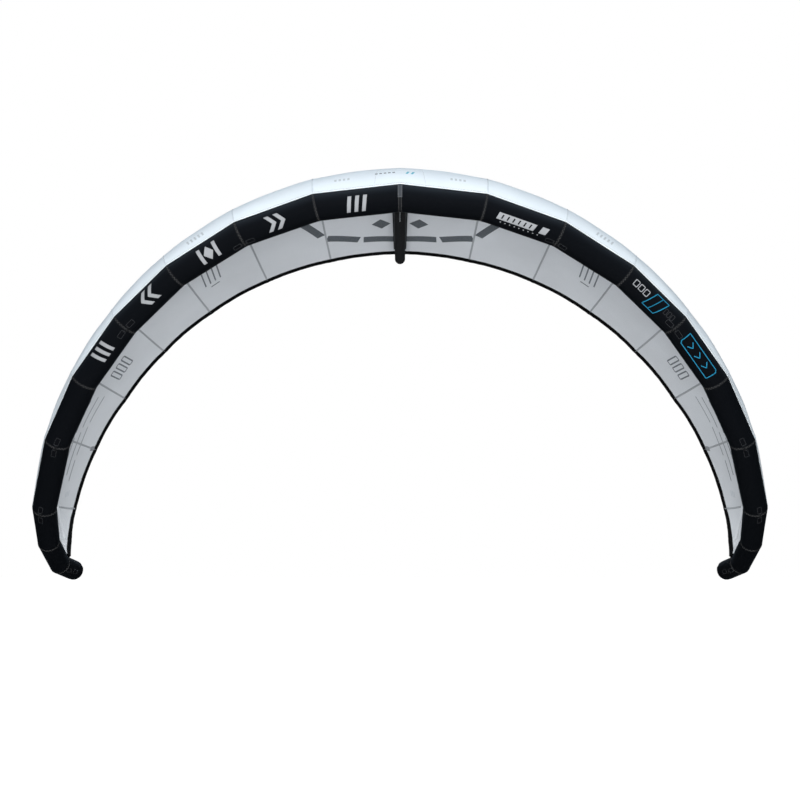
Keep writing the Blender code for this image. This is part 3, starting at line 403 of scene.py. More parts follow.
def woven_cloth(name, slot, colour, line_colour, pitch, roughness, sheen=0.0, specular=0.3,
                line_depth=0.00004):
    """Ripstop cloth: a plain weave, with a thicker thread every few millimetres both ways."""
    material, tree, shader = slot_material(name, slot)
    metres = add_node(tree, "ShaderNodeUVMap", uv_map="cloth").outputs["UV"]
    lines = []
    for direction in "XY":
        wave = add_node(tree, "ShaderNodeTexWave", {"Vector": metres, "Scale": 2 * math.pi / (20 * pitch)},
                        bands_direction=direction)
        lines.append(add_node(tree, "ShaderNodeMath", {0: wave.outputs["Fac"], 1: 9.0}, operation="POWER"))
    grid = add_node(tree, "ShaderNodeMath", {0: lines[0].outputs[0], 1: lines[1].outputs[0]},
                    operation="MAXIMUM")
    place = add_node(tree, "ShaderNodeTexCoord").outputs["Object"]
    cloud = add_node(tree, "ShaderNodeTexNoise", {"Vector": place, "Scale": 2.3, "Detail": 5.0})
    shade = graded(tree, cloud.outputs["Fac"], 0.90, 1.10)
    base = add_node(tree, "ShaderNodeMix", {0: grid.outputs[0], 6: (*colour, 1), 7: (*line_colour, 1)},
                    data_type="RGBA")
    tinted = add_node(tree, "ShaderNodeVectorMath", {0: base.outputs[2], 1: shade}, operation="MULTIPLY")
    weave = add_node(tree, "ShaderNodeTexNoise", {"Vector": metres, "Scale": 900.0, "Detail": 2.0})
    height = add_node(tree, "ShaderNodeMath", {0: grid.outputs[0], 1: 1.0, 2: weave.outputs["Fac"]},
                      operation="MULTIPLY_ADD")
    bump = add_node(tree, "ShaderNodeBump", {"Height": height.outputs[0], "Strength": 0.35,
                                             "Distance": line_depth * 4})
    tree.links.new(tinted.outputs[0], shader.inputs["Base Color"])
    tree.links.new(bump.outputs[0], shader.inputs["Normal"])
    rough = graded(tree, cloud.outputs["Fac"], roughness - 0.06, roughness + 0.06)
    tree.links.new(rough, shader.inputs["Roughness"])
    shader.inputs["Specular IOR Level"].default_value = specular
    shader.inputs["Sheen Weight"].default_value = sheen
    shader.inputs["Sheen Roughness"].default_value = 0.22
    shader.inputs["Sheen Tint"].default_value = (0.65, 0.82, 1.0, 1)
    return material


sleeve_cloth = woven_cloth("sleeve_cloth", "black_sleeve_cloth", (0.0026, 0.0031, 0.0042),
                           (0.0046, 0.0054, 0.0070), 0.0075, 0.45, sheen=0.03, specular=0.12)
turns = [2 * math.pi * side / sleeve_sides for side in range(sleeve_sides)]
half_rows = sorted(set(round(station, 6) for panel in range(1, panel_count + 1)
                       for station in panel_stations(panel)))
half_rings = np.array([sleeve_ring(station) for station in half_rows])
sleeve = Cloth([-row for row in half_rows[:0:-1]] + half_rows,
               turns, np.concatenate((half_rings[:0:-1] * (-1, 1, 1), half_rings)), turning=True)
around = np.array([tube_radius * turn for turn in turns + [2 * math.pi]])
sleeve_panels = {}
halves = ((1, "right"), (-1, "left"))
weave_shift = 0.37
for side, half in halves:
    for panel in range(1, panel_count + 1):
        stations = panel_stations(panel)
        rings = [sleeve_ring(station) for station in stations]
        easts = [(station - panel + 1) * panel_lengths[panel - 1] + panel * weave_shift
                 for station in stations]
        if panel == panel_count:
            rings += tip_dome_rings(rings[-1])
            easts += [easts[-1] + dome_depth * ring / len(dome_turns)
                      for ring in range(1, len(dome_turns) + 1)]
        faces = grid_faces(len(rings), sleeve_sides, turning=True)
        if panel == panel_count:
            faces.append([(len(rings) - 1) * sleeve_sides + place for place in range(sleeve_sides)])
        uvs = grid_uvs(np.array(easts)[:, None], around)
        if panel == panel_count:
            uvs.append([(easts[-1], 0.0)] * sleeve_sides)
        piece = new_piece(f"sleeve_panel_{half}_{panel}", rings, faces, sleeve_cloth, side=side, uvs=uvs,
                          flip=True)
        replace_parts(piece, f"leading_edge_panel_{half}_{panel}")
        sleeve_panels[half, panel] = thicken(piece, sleeve_thickness)


def cut_hole(piece, start, end, radius):
    """A round hole through a piece, from one point to another."""
    work = bmesh.new()
    place = Matrix.Translation((start + end) / 2) @ (end - start).to_track_quat("Z", "Y").to_matrix().to_4x4()
    bmesh.ops.create_cone(work, cap_ends=True, segments=48, radius1=radius, radius2=radius,
                          depth=(end - start).length, matrix=place)
    mesh = bpy.data.meshes.new("punch")
    work.to_mesh(mesh)
    work.free()
    punch = bpy.data.objects.new("punch", mesh)
    bpy.context.scene.collection.objects.link(punch)
    hole = piece.modifiers.new("hole", "BOOLEAN")
    hole.operation = "DIFFERENCE"
    hole.solver = "EXACT"
    hole.object = punch
    graph = bpy.context.evaluated_depsgraph_get()
    done = bpy.data.meshes.new_from_object(piece.evaluated_get(graph))
    piece.modifiers.clear()
    piece.data = done
    bpy.data.objects.remove(punch, do_unlink=True)


valve_x = 0.300
valve_seat = Vector((valve_x, 0, seam_centres[1].z * valve_x / seam_centres[1].x))
valve_seat.y = seam_centres[1].y * valve_x / seam_centres[1].x + radius_at(valve_x / seam_centres[1].x)
valve_hole_radius = 0.0176
through_cloth = Vector((0, 0.03, 0))
valve_hole = (valve_seat - through_cloth, valve_seat + through_cloth, valve_hole_radius)
cut_hole(sleeve_panels["right", 1], *valve_hole)


# Joining tapes of the sleeve: a band of dark grey cloth laid over each cross seam and run round with a
# broad zig-zag of thread. A grey stripe edged with a pale thread marks the middle of the kite.
def sewn_strip(name, cloth, rows, columns, half_width, lift, thickness, material, closed=False, side=1,
               lanes=5, under=False):
    """A flat strip of cloth laid along a line on another piece of cloth, its width taken across the line."""
    half_width = np.broadcast_to(np.asarray(half_width, float), np.shape(rows))
    tuck = np.array([-1.0] + list(np.linspace(-0.97, 0.97, lanes)) + [1.0])
    lines = []
    for share in tuck:
        places = cloth.sideways(rows, columns, half_width * share)
        height = lift - thickness * 0.6 if abs(share) == 1 else lift
        lines.append(cloth.at(*places, lift=-height if under else height))
    grid = np.array(lines)
    widths = lengths_along(grid[len(tuck) // 2])
    if closed:
        widths = np.append(widths, widths[-1] + widths[1])
    uvs = grid_uvs((tuck * float(half_width.max()))[:, None], widths)
    faces = grid_faces(grid.shape[0], grid.shape[1], turning=closed)
    return thicken(new_piece(name, grid, faces, material, side=side, uvs=uvs, flip=not under), thickness)


def thread_line(name, points, radius, material, closed=False, side=1, sides=5, body="airframe"):
    """A thread as a thin round tube through a line of points."""
    points = np.array(points, float)
    if closed:
        way = np.roll(points, -1, 0) - np.roll(points, 1, 0)
    else:
        way = np.gradient(points, axis=0)
    way /= np.maximum(np.linalg.norm(way, axis=1, keepdims=True), 1e-12)
    rough = np.where(np.abs(way[:, 2:]) < 0.9, [[0.0, 0.0, 1.0]], [[1.0, 0.0, 0.0]])
    beside = np.cross(way, rough)
    beside /= np.linalg.norm(beside, axis=1, keepdims=True)
    above = np.cross(beside, way)
    spots = 2 * np.pi * np.arange(sides) / sides
    rings = points[:, None] + radius * (beside[:, None] * np.cos(spots)[:, None]
                                        + above[:, None] * np.sin(spots)[:, None])
    if closed:
        rings = np.concatenate((rings, rings[:1]))
    faces = grid_faces(len(rings), sides, turning=True)
    if not closed:
        faces += [list(range(sides)), [(len(rings) - 1) * sides + spot for spot in range(sides)][::-1]]
    return new_piece(name, rings, faces, material, body, side=side, flip=True)


def zigzag(cloth, rows, columns, pitch, half_width, lift, closed=False):
    """Points of a zig-zag of thread along a line on cloth: four to each turn of the zig-zag."""
    line = cloth.at(rows, columns)
    if closed:
        line = np.concatenate((line, line[:1]))
    reach = lengths_along(line)
    turns_count = max(2, round(reach[-1] / pitch))
    where = np.linspace(0, reach[-1], turns_count * 4 + 1)
    if closed:
        where = where[:-1]
        rows, columns = np.append(rows, rows[0]), np.append(columns, columns[-1] * 2 - columns[-2])
    row, column = np.interp(where, reach, rows), np.interp(where, reach, columns)
    swing = np.tile([0.0, 1.0, 0.0, -1.0], turns_count + 1)[:len(where)]
    return cloth.at(*cloth.sideways(row, column, swing * half_width), lift=lift)


seam_tape_cloth = woven_cloth("seam_tape_cloth", "grey_strut_cloth", (0.012, 0.0125, 0.0135),
                              (0.017, 0.0175, 0.019), 0.004, 0.72, specular=0.10)
stripe_cloth = woven_cloth("stripe_cloth", "pale_canopy_cloth", (0.044, 0.047, 0.052),
                           (0.060, 0.064, 0.070), 0.004, 0.62, specular=0.2)


def plain_finish(name, slot, colour, roughness, specular=0.3, grain=0.06, grain_scale=60.0, depth=0.0002):
    """Moulded, drawn or printed stuff: one colour a little uneven, with a fine grain in it."""
    material, tree, shader = slot_material(name, slot)
    place = add_node(tree, "ShaderNodeTexCoord").outputs["Object"]
    cloud = add_node(tree, "ShaderNodeTexNoise", {"Vector": place, "Scale": grain_scale, "Detail": 4.0})
    shade = graded(tree, cloud.outputs["Fac"], 1 - grain, 1 + grain)
    tinted = add_node(tree, "ShaderNodeVectorMath", {0: colour, 1: shade}, operation="MULTIPLY")
    bump = add_node(tree, "ShaderNodeBump", {"Height": cloud.outputs["Fac"], "Strength": 0.3,
                                             "Distance": depth})
    rough = graded(tree, cloud.outputs["Fac"], roughness - 0.05, roughness + 0.05)
    tree.links.new(tinted.outputs[0], shader.inputs["Base Color"])
    tree.links.new(bump.outputs[0], shader.inputs["Normal"])
    tree.links.new(rough, shader.inputs["Roughness"])
    shader.inputs["Specular IOR Level"].default_value = specular
    return material


def thread_finish(name, slot, colour, roughness=0.7):
    return plain_finish(name, slot, colour, roughness, grain_scale=400)


grey_thread = thread_finish("grey_thread", "grey_strut_cloth", (0.092, 0.090, 0.088))
white_thread = thread_finish("white_thread", "pale_canopy_cloth", (0.62, 0.64, 0.66), 0.65)
all_round = np.linspace(0, 2 * math.pi, 96, endpoint=False)


def fine_seam(name, line, side=1):
    """A line of fine grey thread."""
    thread_line(name, line, 0.0005, grey_thread, side=side, sides=4)


tape_half, centre_tape_half, tape_lift, tape_thickness = 0.0095, 0.013, 0.0010, 0.0007
zigzag_pitch, zigzag_half, zigzag_lift, zigzag_radius = 0.022, 0.0068, 0.0013, 0.0008
for seam in range(1, panel_count):
    for side, half in halves:
        seam_rows = np.full(len(all_round), float(seam))
        sewn_strip(f"seam_tape_{half}_{seam}", sleeve, seam_rows, all_round, tape_half, tape_lift,
                   tape_thickness, seam_tape_cloth, closed=True, side=side)
        line = zigzag(sleeve, seam_rows, all_round, zigzag_pitch, zigzag_half, zigzag_lift, closed=True)
        thread_line(f"seam_thread_{half}_{seam}", line, zigzag_radius, grey_thread, closed=True, side=side)
centre_rows = np.zeros(len(all_round))
sewn_strip("centre_tape", sleeve, centre_rows, all_round, centre_tape_half, tape_lift, tape_thickness,
           seam_tape_cloth, closed=True)
for name, out in (("left", -0.0105), ("right", 0.0105)):
    edge_rows = centre_rows + out / panel_lengths[0]
    thread_line(f"centre_thread_{name}", sleeve.at(edge_rows, all_round, lift=0.0012), 0.0007, grey_thread,
                closed=True)
stripe_turns = np.radians(np.linspace(46, 104, 40))
sewn_strip("centre_stripe", sleeve, np.zeros(len(stripe_turns)), stripe_turns, 0.0150, 0.0018, 0.0006,
           stripe_cloth)
edge_places, edge_angles = (-0.0125, -0.0125, 0.0125, 0.0125), (46, 102.5, 102.5, 46)
edge_shares = np.concatenate((np.linspace(0, 1, 30), np.linspace(1, 2, 8)[1:], np.linspace(2, 3, 30)[1:]))
edge_rows = np.interp(edge_shares, range(4), edge_places) / panel_lengths[0]
edge_turns = np.radians(np.interp(edge_shares, range(4), edge_angles))
thread_line("stripe_thread", sleeve.at(edge_rows, edge_turns, lift=0.0020), 0.0010,
            thread_finish("stripe_thread", "pale_canopy_cloth", (0.16, 0.165, 0.175)))


# Closing seam of the sleeve: each panel is a flat blank rolled up and closed along the back of the tube,
# inside the arch, under a flat strip of cloth held by two rows of thread.
closing_turn = math.radians(205)
for side, half in halves:
    rows = np.array([row for row in sleeve.rows if row >= 0])
    columns = closing_turn + np.array([twist_at(row) for row in rows])
    sewn_strip(f"closing_seam_{half}", sleeve, rows, columns, 0.0065, 0.0007, 0.0006, seam_tape_cloth,
               side=side, lanes=3)
    for row_name, out in (("upper", -0.0045), ("lower", 0.0045)):
        line = sleeve.at(*sleeve.sideways(rows, columns, out), lift=0.0009)
        fine_seam(f"closing_thread_{row_name}_{half}", line, side=side)


# Leading-edge bladder: a long bag of clear urethane film, welded along its length. Blown up hard it fills
# the sleeve from tip to tip. Only the ring of it behind the valve can be seen, when the valve is open.
def film_bag(name, rings):
    """A bag of film from its rings, closed at both ends."""
    count, sides = rings.shape[:2]
    faces = grid_faces(count, sides, turning=True)
    faces += [list(range(sides))[::-1], [(count - 1) * sides + spot for spot in range(sides)]]
    return thicken(new_piece(name, rings, faces, bladder_film, flip=True), film_thickness)


bladder_film = plain_finish("bladder_film", "clear_bladder_film", (0.60, 0.63, 0.65), 0.22, specular=0.45,
                            grain=0.04, grain_scale=12, depth=0.0004)
bladder_film.node_tree.nodes["Principled BSDF"].inputs["Transmission Weight"].default_value = 0.35
bladder_gap, film_thickness = -0.0026, 0.0004
half_film = np.array([sleeve_ring(station, lift=bladder_gap) for station in half_rows[::2] + half_rows[-1:]])
end_film = np.array(tip_dome_rings([Vector(point) for point in half_film[-1]], lift=bladder_gap))
half_film = np.concatenate((half_film, end_film))[:, ::2]
tube_bladder = film_bag("tube_bladder", np.concatenate((half_film[:0:-1] * (-1, 1, 1), half_film)))
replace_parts(tube_bladder, "leading_edge_bladder")
cut_hole(tube_bladder, *valve_hole)


# Canopy: one curved skin of light ripstop polyester, cut as sixteen panels and sewn together along the
# ribs. It leaves the upper front of the tube, is pulled tight to the trailing edge and swells a little
# between the ribs. The cloth draws in at every seam.
rib_stations = (0.0, 1.0, 2.0, 3.0, 4.0, 5.0, 6.0, 7.0, 8.0, 8.9)
canopy_end = rib_stations[-1]
whole_bays = 8
sewn_angles = (42, 42, 41, 40, 38, 36, 32, 15, -45, -150)
root_chord = 1.832
chord_shares = (1.0, 0.991, 0.9525, 0.89, 0.805, 0.723, 0.609, 0.4775, 0.225)
front_handle_shares = (0.333, 0.312, 0.292, 0.263, 0.238, 0.193, 0.143, 0.19, 0.25)
rear_handle_shares = (0.50, 0.50, 0.50, 0.50, 0.50, 0.50, 0.50, 0.45, 0.40)
rear_drop_angles = (13, 13, 13, 13, 12, 11, 10, 12, 22)
rear_rise_shares = (0.0, -0.09, -0.09, -0.09, -0.09, -0.10, -0.10, -0.10, -0.80)
tip_rib_share = 0.14
billow, billow_ramp_share = 0.016, 0.20
billow_shares = (1.0, 1.0, 1.0, 1.0, 1.0, 1.0, 0.9, 0.5, 0.15)
fade_power, leaving_lift_angle = 3, 5
cad_cloth, cad_gap, canopy_cloth = 0.0012, 0.0006, 0.0006


def sewn_point(station):
    """Where the canopy's cloth starts on the tube."""
    low = min(int(station), panel_count - 1)
    turn = math.radians(between(rib_stations, sewn_angles, station)) + twist_at(station)
    first, last = (ring_point(seam, turn, radius_at(seam) + cad_cloth / 2 + cad_gap)
                   for seam in (low, low + 1))
    return np.array(first.lerp(last, station - low))


def rib_line(rib, depths):
    """Points of a rib's curve at shares of its depth, from the tube to the trailing edge."""
    front = sewn_point(rib_stations[rib])
    if rib == len(chord_shares):
        return front + (rib_line(rib - 1, depths) - rib_line(rib - 1, np.zeros(1))) * tip_rib_share
    centre = np.array(tube_centre(rib_stations[rib]))
    _, outward, rearward = (np.array(way) for way in tube_frame(rib_stations[rib]))
    lifted = math.radians(sewn_angles[rib] + leaving_lift_angle)
    leaving = outward * math.sin(lifted) + rearward * math.cos(lifted)
    drop = math.radians(rear_drop_angles[rib])
    arriving = np.array((0, 1, 0)) * math.cos(drop) - outward * math.sin(drop)
    arriving /= np.linalg.norm(arriving)
    chord = root_chord * chord_shares[rib]
    rear = centre + np.array((0, chord, 0)) + outward * (radius_at(rib) * rear_rise_shares[rib])
    handles = (front, front + leaving * (chord * front_handle_shares[rib]),
               rear - arriving * (chord * rear_handle_shares[rib]), rear)
    part = np.asarray(depths)[:, None]
    weights = ((1 - part) ** 3, 3 * (1 - part) ** 2 * part, 3 * (1 - part) * part ** 2, part ** 3)
    return sum(handle * weight for handle, weight in zip(handles, weights))


def canopy_grid(stations, depths):
    """Points of the canopy at stations of one half: straight from rib to rib, and swollen between."""
    ribs = [rib_line(rib, depths) for rib in range(len(rib_stations))]
    fade = ((1 - depths) ** fade_power)[:, None]
    ramp = np.minimum(depths / billow_ramp_share, 1.0)[:, None]
    grid = []
    for station in stations:
        bay = min(max(0, int(np.searchsorted(rib_stations, station)) - 1), len(rib_stations) - 2)
        first, last = rib_stations[bay:bay + 2]
        part = (station - first) / (last - first)
        straight = ribs[bay] * (1 - part) + ribs[bay + 1] * part
        held = sewn_point(station) - sewn_point(first) * (1 - part) - sewn_point(last) * part
        swell = billow * billow_shares[bay] * (last - first) * 4 * part * (1 - part)
        grid.append(straight + held * fade + np.array(tube_frame(station)[1]) * swell * ramp)
    return np.array(grid)


def bay_stations(first, last, length):
    """Stations across one bay, close together by its two seams."""
    near = [gap / length for gap in (0.0, 0.005, 0.012, 0.022, 0.036, 0.055, 0.085) if gap < length * 0.4]
    middle = list(np.linspace(near[-1], 1 - near[-1], 9)[1:-1])
    return [first + (last - first) * part for part in near + middle + [1 - part for part in near[::-1]]]


def canopy_rows(end, count):
    """Rows of the canopy from tip to tip: close together by each seam, then evenly spaced to the end."""
    bays = [bay_stations(seam, seam + 1, panel_lengths[seam])[:-1] for seam in range(whole_bays)]
    half = np.concatenate(bays + [np.linspace(whole_bays, end, count)])
    return np.concatenate((-half[:0:-1], half))


rows = canopy_rows(canopy_end, 25)
middle_row = len(rows) // 2
depth_rows = np.linspace(0, 1, 161) ** 1.15
half_grid = canopy_grid(rows[middle_row:], depth_rows)
plain_canopy = Cloth(rows, depth_rows, np.concatenate((half_grid[:0:-1] * (-1, 1, 1), half_grid)))


seam_pucker, seam_reach = 0.0011, 0.022
rear_wave, rear_reach = 0.0010, 0.06
front_wave, front_reach, front_hold = 0.0013, 0.05, 0.012
soft_wave = 0.0016


def canopy_relief(station, depth, chord):
    """How far the canopy's cloth stands off its smooth shape: puckers along its seams and its edges."""
    station = np.abs(station)
    seam = np.round(station)
    gap = np.abs(station - seam) * np.interp(seam, range(10), panel_lengths[:1] + panel_lengths[:9])
    seam_waves = np.sin(depth * chord * 88 + seam * 2.1 + np.sin(depth * chord * 21 + seam) * 1.7)
    puckers = seam_waves * seam_pucker * np.exp(-gap / seam_reach)
    edge_waves = np.sin(station * 58 + np.sin(station * 13) * 1.5)
    rear = edge_waves * rear_wave * np.exp(-(1 - depth) * chord / rear_reach)
    front = np.sin(station * 66 + np.sin(station * 17)) * front_wave * np.exp(-depth * chord / front_reach)
    front = front * (1 - np.exp(-depth * chord / front_hold))
    soft = np.sin(station * 9.3 + depth * 3.1) * np.sin(depth * chord * 5.3 + station * 2.3) * soft_wave
    open_part = np.minimum(depth / 0.1, 1) * np.minimum((1 - depth) / 0.1, 1)
    open_part = open_part * np.minimum((canopy_end - station) / 1.2, 1)
    return puckers * np.minimum(depth / 0.04, 1) + rear + front + soft * open_part


chords = np.linalg.norm(np.diff(plain_canopy.points, axis=1), axis=2).sum(1)[:, None]
relief = canopy_relief(plain_canopy.rows[:, None], plain_canopy.columns[None], chords)
relief = relief * np.clip((canopy_end - 0.05 - np.abs(plain_canopy.rows[:, None])) / 0.3, 0, 1)
canopy = Cloth(plain_canopy.rows, plain_canopy.columns,
               plain_canopy.points + plain_canopy.normals * relief[..., None])


def chords_at(rows):
    return np.interp(np.abs(rows), canopy.rows[middle_row:], chords[middle_row:, 0])


ripstop_pitch = 0.0055
# The canopy is one white cloth on both faces. Its lower face is given a darker, greyer copy of that colour:
# painted shade for the underside out of the light.
white_canopy = woven_cloth("canopy_cloth_above", "pale_canopy_cloth", (0.80, 0.86, 0.90),
                           (0.74, 0.80, 0.85), ripstop_pitch, 0.55, sheen=0.05, specular=0.25)
pale_canopy = woven_cloth("canopy_cloth_below_painted_shade", "pale_canopy_cloth", (0.74, 0.76, 0.78),
                          (0.64, 0.66, 0.69), ripstop_pitch, 0.55, sheen=0.05, specular=0.25)
easts = np.stack([lengths_along(line) for line in canopy.points.swapaxes(0, 1)], axis=1)
easts -= easts[middle_row]
norths = np.stack([lengths_along(line) for line in canopy.points])
canopy_piece = new_piece("canopy", canopy.points, grid_faces(*canopy.points.shape[:2]), white_canopy,
                         uvs=grid_uvs(easts, norths))
canopy_piece.data.materials.append(pale_canopy)
shell = thicken(canopy_piece, canopy_cloth, 0).modifiers["thickness"]
shell.material_offset = 1
for half in ("left", "right"):
    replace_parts(canopy_piece, *[f"canopy_panel_{half}_{panel}" for panel in range(1, 9)])


# Seams of the canopy: neighbouring panels lie over each other by two fingers, glued and sewn with a
# zig-zag of thread. Seen from below with the light behind it the double cloth is a darker line; that
# darker grey is painted into the strip on the lower face as painted shade.
seam_cloth_above = woven_cloth("canopy_seam_above", "pale_canopy_cloth", (0.75, 0.81, 0.86),
                               (0.70, 0.76, 0.81), ripstop_pitch, 0.6, specular=0.2)
# The strip on the lower face is painted much darker than the same cloth above: painted shade of the double
# cloth against the light.
seam_cloth_below_painted_shade = woven_cloth("canopy_seam_below_painted_shade", "pale_canopy_cloth", (0.40, 0.415, 0.435),
                               (0.36, 0.375, 0.395), ripstop_pitch, 0.6, specular=0.2)
seam_depths = np.linspace(0.004, 0.985, 150)
pale_thread = thread_finish("pale_thread", "pale_canopy_cloth", (0.52, 0.54, 0.56))
last_seam_lean = 0.24
seam_lift, seam_thickness = 0.0010, 0.0004
stitch_pitch, stitch_half, stitch_lift, stitch_radius = 0.014, 0.0038, 0.0013, 0.00045
for seam in range(1, 8):
    for side, half in halves:
        rows = seam + (last_seam_lean if seam == 7 else 0.0) * (1 - seam_depths)
        for face, half_width, cloth in (("above", 0.0065, seam_cloth_above),
                                        ("below", 0.0075, seam_cloth_below_painted_shade)):
            sewn_strip(f"canopy_seam_{face}_{half}_{seam}", canopy, rows, seam_depths, half_width, seam_lift,
                       seam_thickness, cloth, side=side, lanes=3, under=face == "below")
        for face, lift in (("above", stitch_lift), ("below", -stitch_lift)):
            line = zigzag(canopy, rows, seam_depths, stitch_pitch, stitch_half, lift)
            thread_line(f"canopy_thread_{face}_{half}_{seam}", line, stitch_radius, pale_thread, side=side,
                        sides=4)


# Front hem of the canopy: the cloth is folded under and sewn to the tube through a flat strip, with one
# zig-zag of thread along the strip. A second narrow strip on the sleeve covers the joint.
hem_cloth = woven_cloth("hem_cloth", "pale_canopy_cloth", (0.82, 0.87, 0.90), (0.78, 0.83, 0.86),
                        ripstop_pitch, 0.6, specular=0.2)
hem_rows = canopy_rows(canopy_end - 0.06, 16)
full_hem, hem_chord_share, hem_set_back = 0.011, 0.15, 1.15
hem_width = np.minimum(full_hem, chords_at(hem_rows) * hem_chord_share)
hem_depths = hem_width * hem_set_back / chords_at(hem_rows)
sewn_strip("front_hem", canopy, hem_rows, hem_depths, hem_width, 0.0011, 0.0005, hem_cloth, lanes=3)
hem_thread = zigzag(canopy, hem_rows, hem_depths, 0.012, 0.0045, 0.0014)
thread_line("front_hem_thread", hem_thread, stitch_radius, grey_thread, sides=4)
sewn_turns = np.radians(np.interp(np.abs(hem_rows), rib_stations, sewn_angles))
sewn_turns += np.array([twist_at(abs(row)) for row in hem_rows])
joint_turns = sewn_turns + 0.0045 / (tube_radius * 0.95)
sewn_strip("canopy_joint_strip", sleeve, hem_rows, joint_turns, 0.0075, 0.0009, 0.0006, sleeve_cloth, lanes=3)
fine_seam("canopy_joint_thread", sleeve.at(hem_rows, joint_turns + 0.045, lift=0.0011))


# Trailing edge: the free rear edge is bound in one long folded tape of black polyester, sewn through
# with two rows of thread. It keeps the edge from fluttering.
tape_inset, tape_run_share, tape_overhang = 0.044, 0.092, 0.0015
edge_rows = canopy_rows(canopy_end - 0.02, 24)
edge_chords = chords_at(edge_rows)
tip_inset = np.interp(np.abs(edge_rows), (5.5, 8.2), (0.037, 0.050))
inset = np.minimum(np.maximum(tape_inset, tip_inset),
                   np.maximum(tape_run_share * edge_chords, np.minimum(tip_inset, 0.8 * edge_chords)))
fold = canopy_cloth / 2 + 0.0005
tape_profile = ((1.0, 0.2), (0.98, 1.0), (0.75, 1.0), (0.5, 1.0), (0.25, 1.0), (0.04, 1.0))
lines = [canopy.at(edge_rows, 1 - inset * share / edge_chords, lift=fold * lift)
         for share, lift in tape_profile]
rear_edge = canopy.at(edge_rows, np.ones(len(edge_rows)))
rear_way = rear_edge - canopy.at(edge_rows, np.full(len(edge_rows), 0.99))
rear_way /= np.linalg.norm(rear_way, axis=1, keepdims=True)
for lift in (0.85, 0.5, 0.0, -0.5, -0.85):
    out = tape_overhang * math.sqrt(max(0.0, 1 - lift ** 2))
    lines.append(canopy.at(edge_rows, np.ones(len(edge_rows)), lift=fold * lift) + rear_way * out)
lines += [canopy.at(edge_rows, 1 - inset * share / edge_chords, lift=-fold * lift)
          for share, lift in tape_profile[::-1]]
edge_tape_cloth = woven_cloth("edge_tape_cloth", "black_edge_tape", (0.0030, 0.0031, 0.0035),
                              (0.0060, 0.0062, 0.0068), 0.0025, 0.7, specular=0.05)
edge_tape = lined_sheet("trailing_edge_tape", lines, np.linspace(-1, 1, len(lines)) * tape_inset,
                        lengths_along(lines[6]), edge_tape_cloth, 0.0005)
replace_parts(edge_tape, "trailing_edge_tape_left", "trailing_edge_tape_right")
for place, share in (("front", 0.88), ("rear", 0.12)):
    for face, lift in (("above", 1), ("below", -1)):
        line = canopy.at(edge_rows, 1 - inset * share / edge_chords, lift=(fold + 0.0007) * lift)
        fine_seam(f"edge_tape_thread_{place}_{face}", line)


# Centre strut: a tapering tube of dark grey cloth with its own bladder, rounded at the rear. It meets the
# back of the leading edge and hangs under the middle seam of the canopy between two sewn flaps, which let
# its rear end down a little. A broad strip of black scuff cloth covers its underside.
strut_front_radius, strut_rear_radius, strut_dome_depth = 0.075, 0.040, 0.040
strut_start_share, strut_rear_margin = 0.075, 0.030
strut_rear_drop, strut_drop_start_share = 0.027, 0.45
strut_sides = 96
strut_turns = np.array([2 * math.pi * side / strut_sides for side in range(strut_sides)])
strut_shares = np.linspace(strut_start_share, 1 - strut_rear_margin / root_chord, 90)
dihedral = math.atan2(-seam_centres[1].z, seam_centres[1].x)


def strut_radius(shares):
    return strut_front_radius + (strut_rear_radius - strut_front_radius) * shares


def rising(ways):
    """Directions square to the strut's ways, from its middle up to the canopy."""
    return np.stack((np.zeros(len(ways)), -ways[:, 2], ways[:, 1]), axis=1)


def off_tube_line(points):
    """How far points in the first panels lie behind and above the middle line of the tube."""
    first = seam_centres[1]
    return points[..., 1:] - np.abs(points[..., :1]) * (first.y / first.x, first.z / first.x)


def strut_rings(shares):
    """Rings of the strut hung under the middle seam of the canopy, with the way that each one faces."""
    hung = rib_line(0, shares)
    ahead = rib_line(0, np.minimum(shares + 0.01, 1.0))
    ways = ahead - rib_line(0, np.minimum(shares + 0.01, 1.0) - 0.02)
    ways /= np.linalg.norm(ways, axis=1, keepdims=True)
    rises, radii = rising(ways), strut_radius(shares)
    drop_shares = np.maximum(shares - strut_drop_start_share, 0) / (1 - strut_drop_start_share)
    drops = strut_rear_drop * drop_shares ** 2
    middles = hung - rises * ((radii + 0.0003 + cad_cloth / 2) / math.cos(dihedral) + drops)[:, None]
    swing = rises[:, None] * np.cos(strut_turns)[:, None] + np.array((1, 0, 0)) * np.sin(strut_turns)[:, None]
    return middles[:, None] + swing * radii[:, None, None], middles, ways


rings, middles, ways = strut_rings(strut_shares)
domes = [middles[-1] + (rings[-1] - middles[-1]) * math.cos(turn)
         + ways[-1] * (strut_dome_depth * math.sin(turn))
         for turn in np.radians((12, 24, 36, 48, 60, 70, 79, 86))]
fore_shares = np.linspace(0.002, strut_start_share, 80)
fore_rings = strut_rings(fore_shares)[0]
inside = np.linalg.norm(off_tube_line(fore_rings), axis=2) < tube_radius + 0.0008
touch = np.array([fore_shares[np.nonzero(inside[:, side])[0].max(initial=-1) + 1]
                  for side in range(strut_sides)])
touch = (np.roll(touch, 1) + touch + np.roll(touch, -1)) / 3
lead_in = []
for part in (0.0, 0.04, 0.10, 0.2, 0.35, 0.5, 0.75):
    where = touch + (strut_start_share - touch) * part
    lead_in.append([[np.interp(where[side], fore_shares, fore_rings[:, side, axis]) for axis in range(3)]
                    for side in range(strut_sides)])
strut_skin = np.concatenate((np.array(lead_in), rings, np.array(domes)))
strut_lengths = lengths_along(strut_skin[:, strut_sides // 2])
strut = Cloth(strut_lengths, strut_turns, strut_skin, turning=True)
strut_cloth = woven_cloth("strut_cloth", "grey_strut_cloth", (0.020, 0.0215, 0.023), (0.029, 0.031, 0.033),
                          0.0075, 0.62, sheen=0.03, specular=0.15)
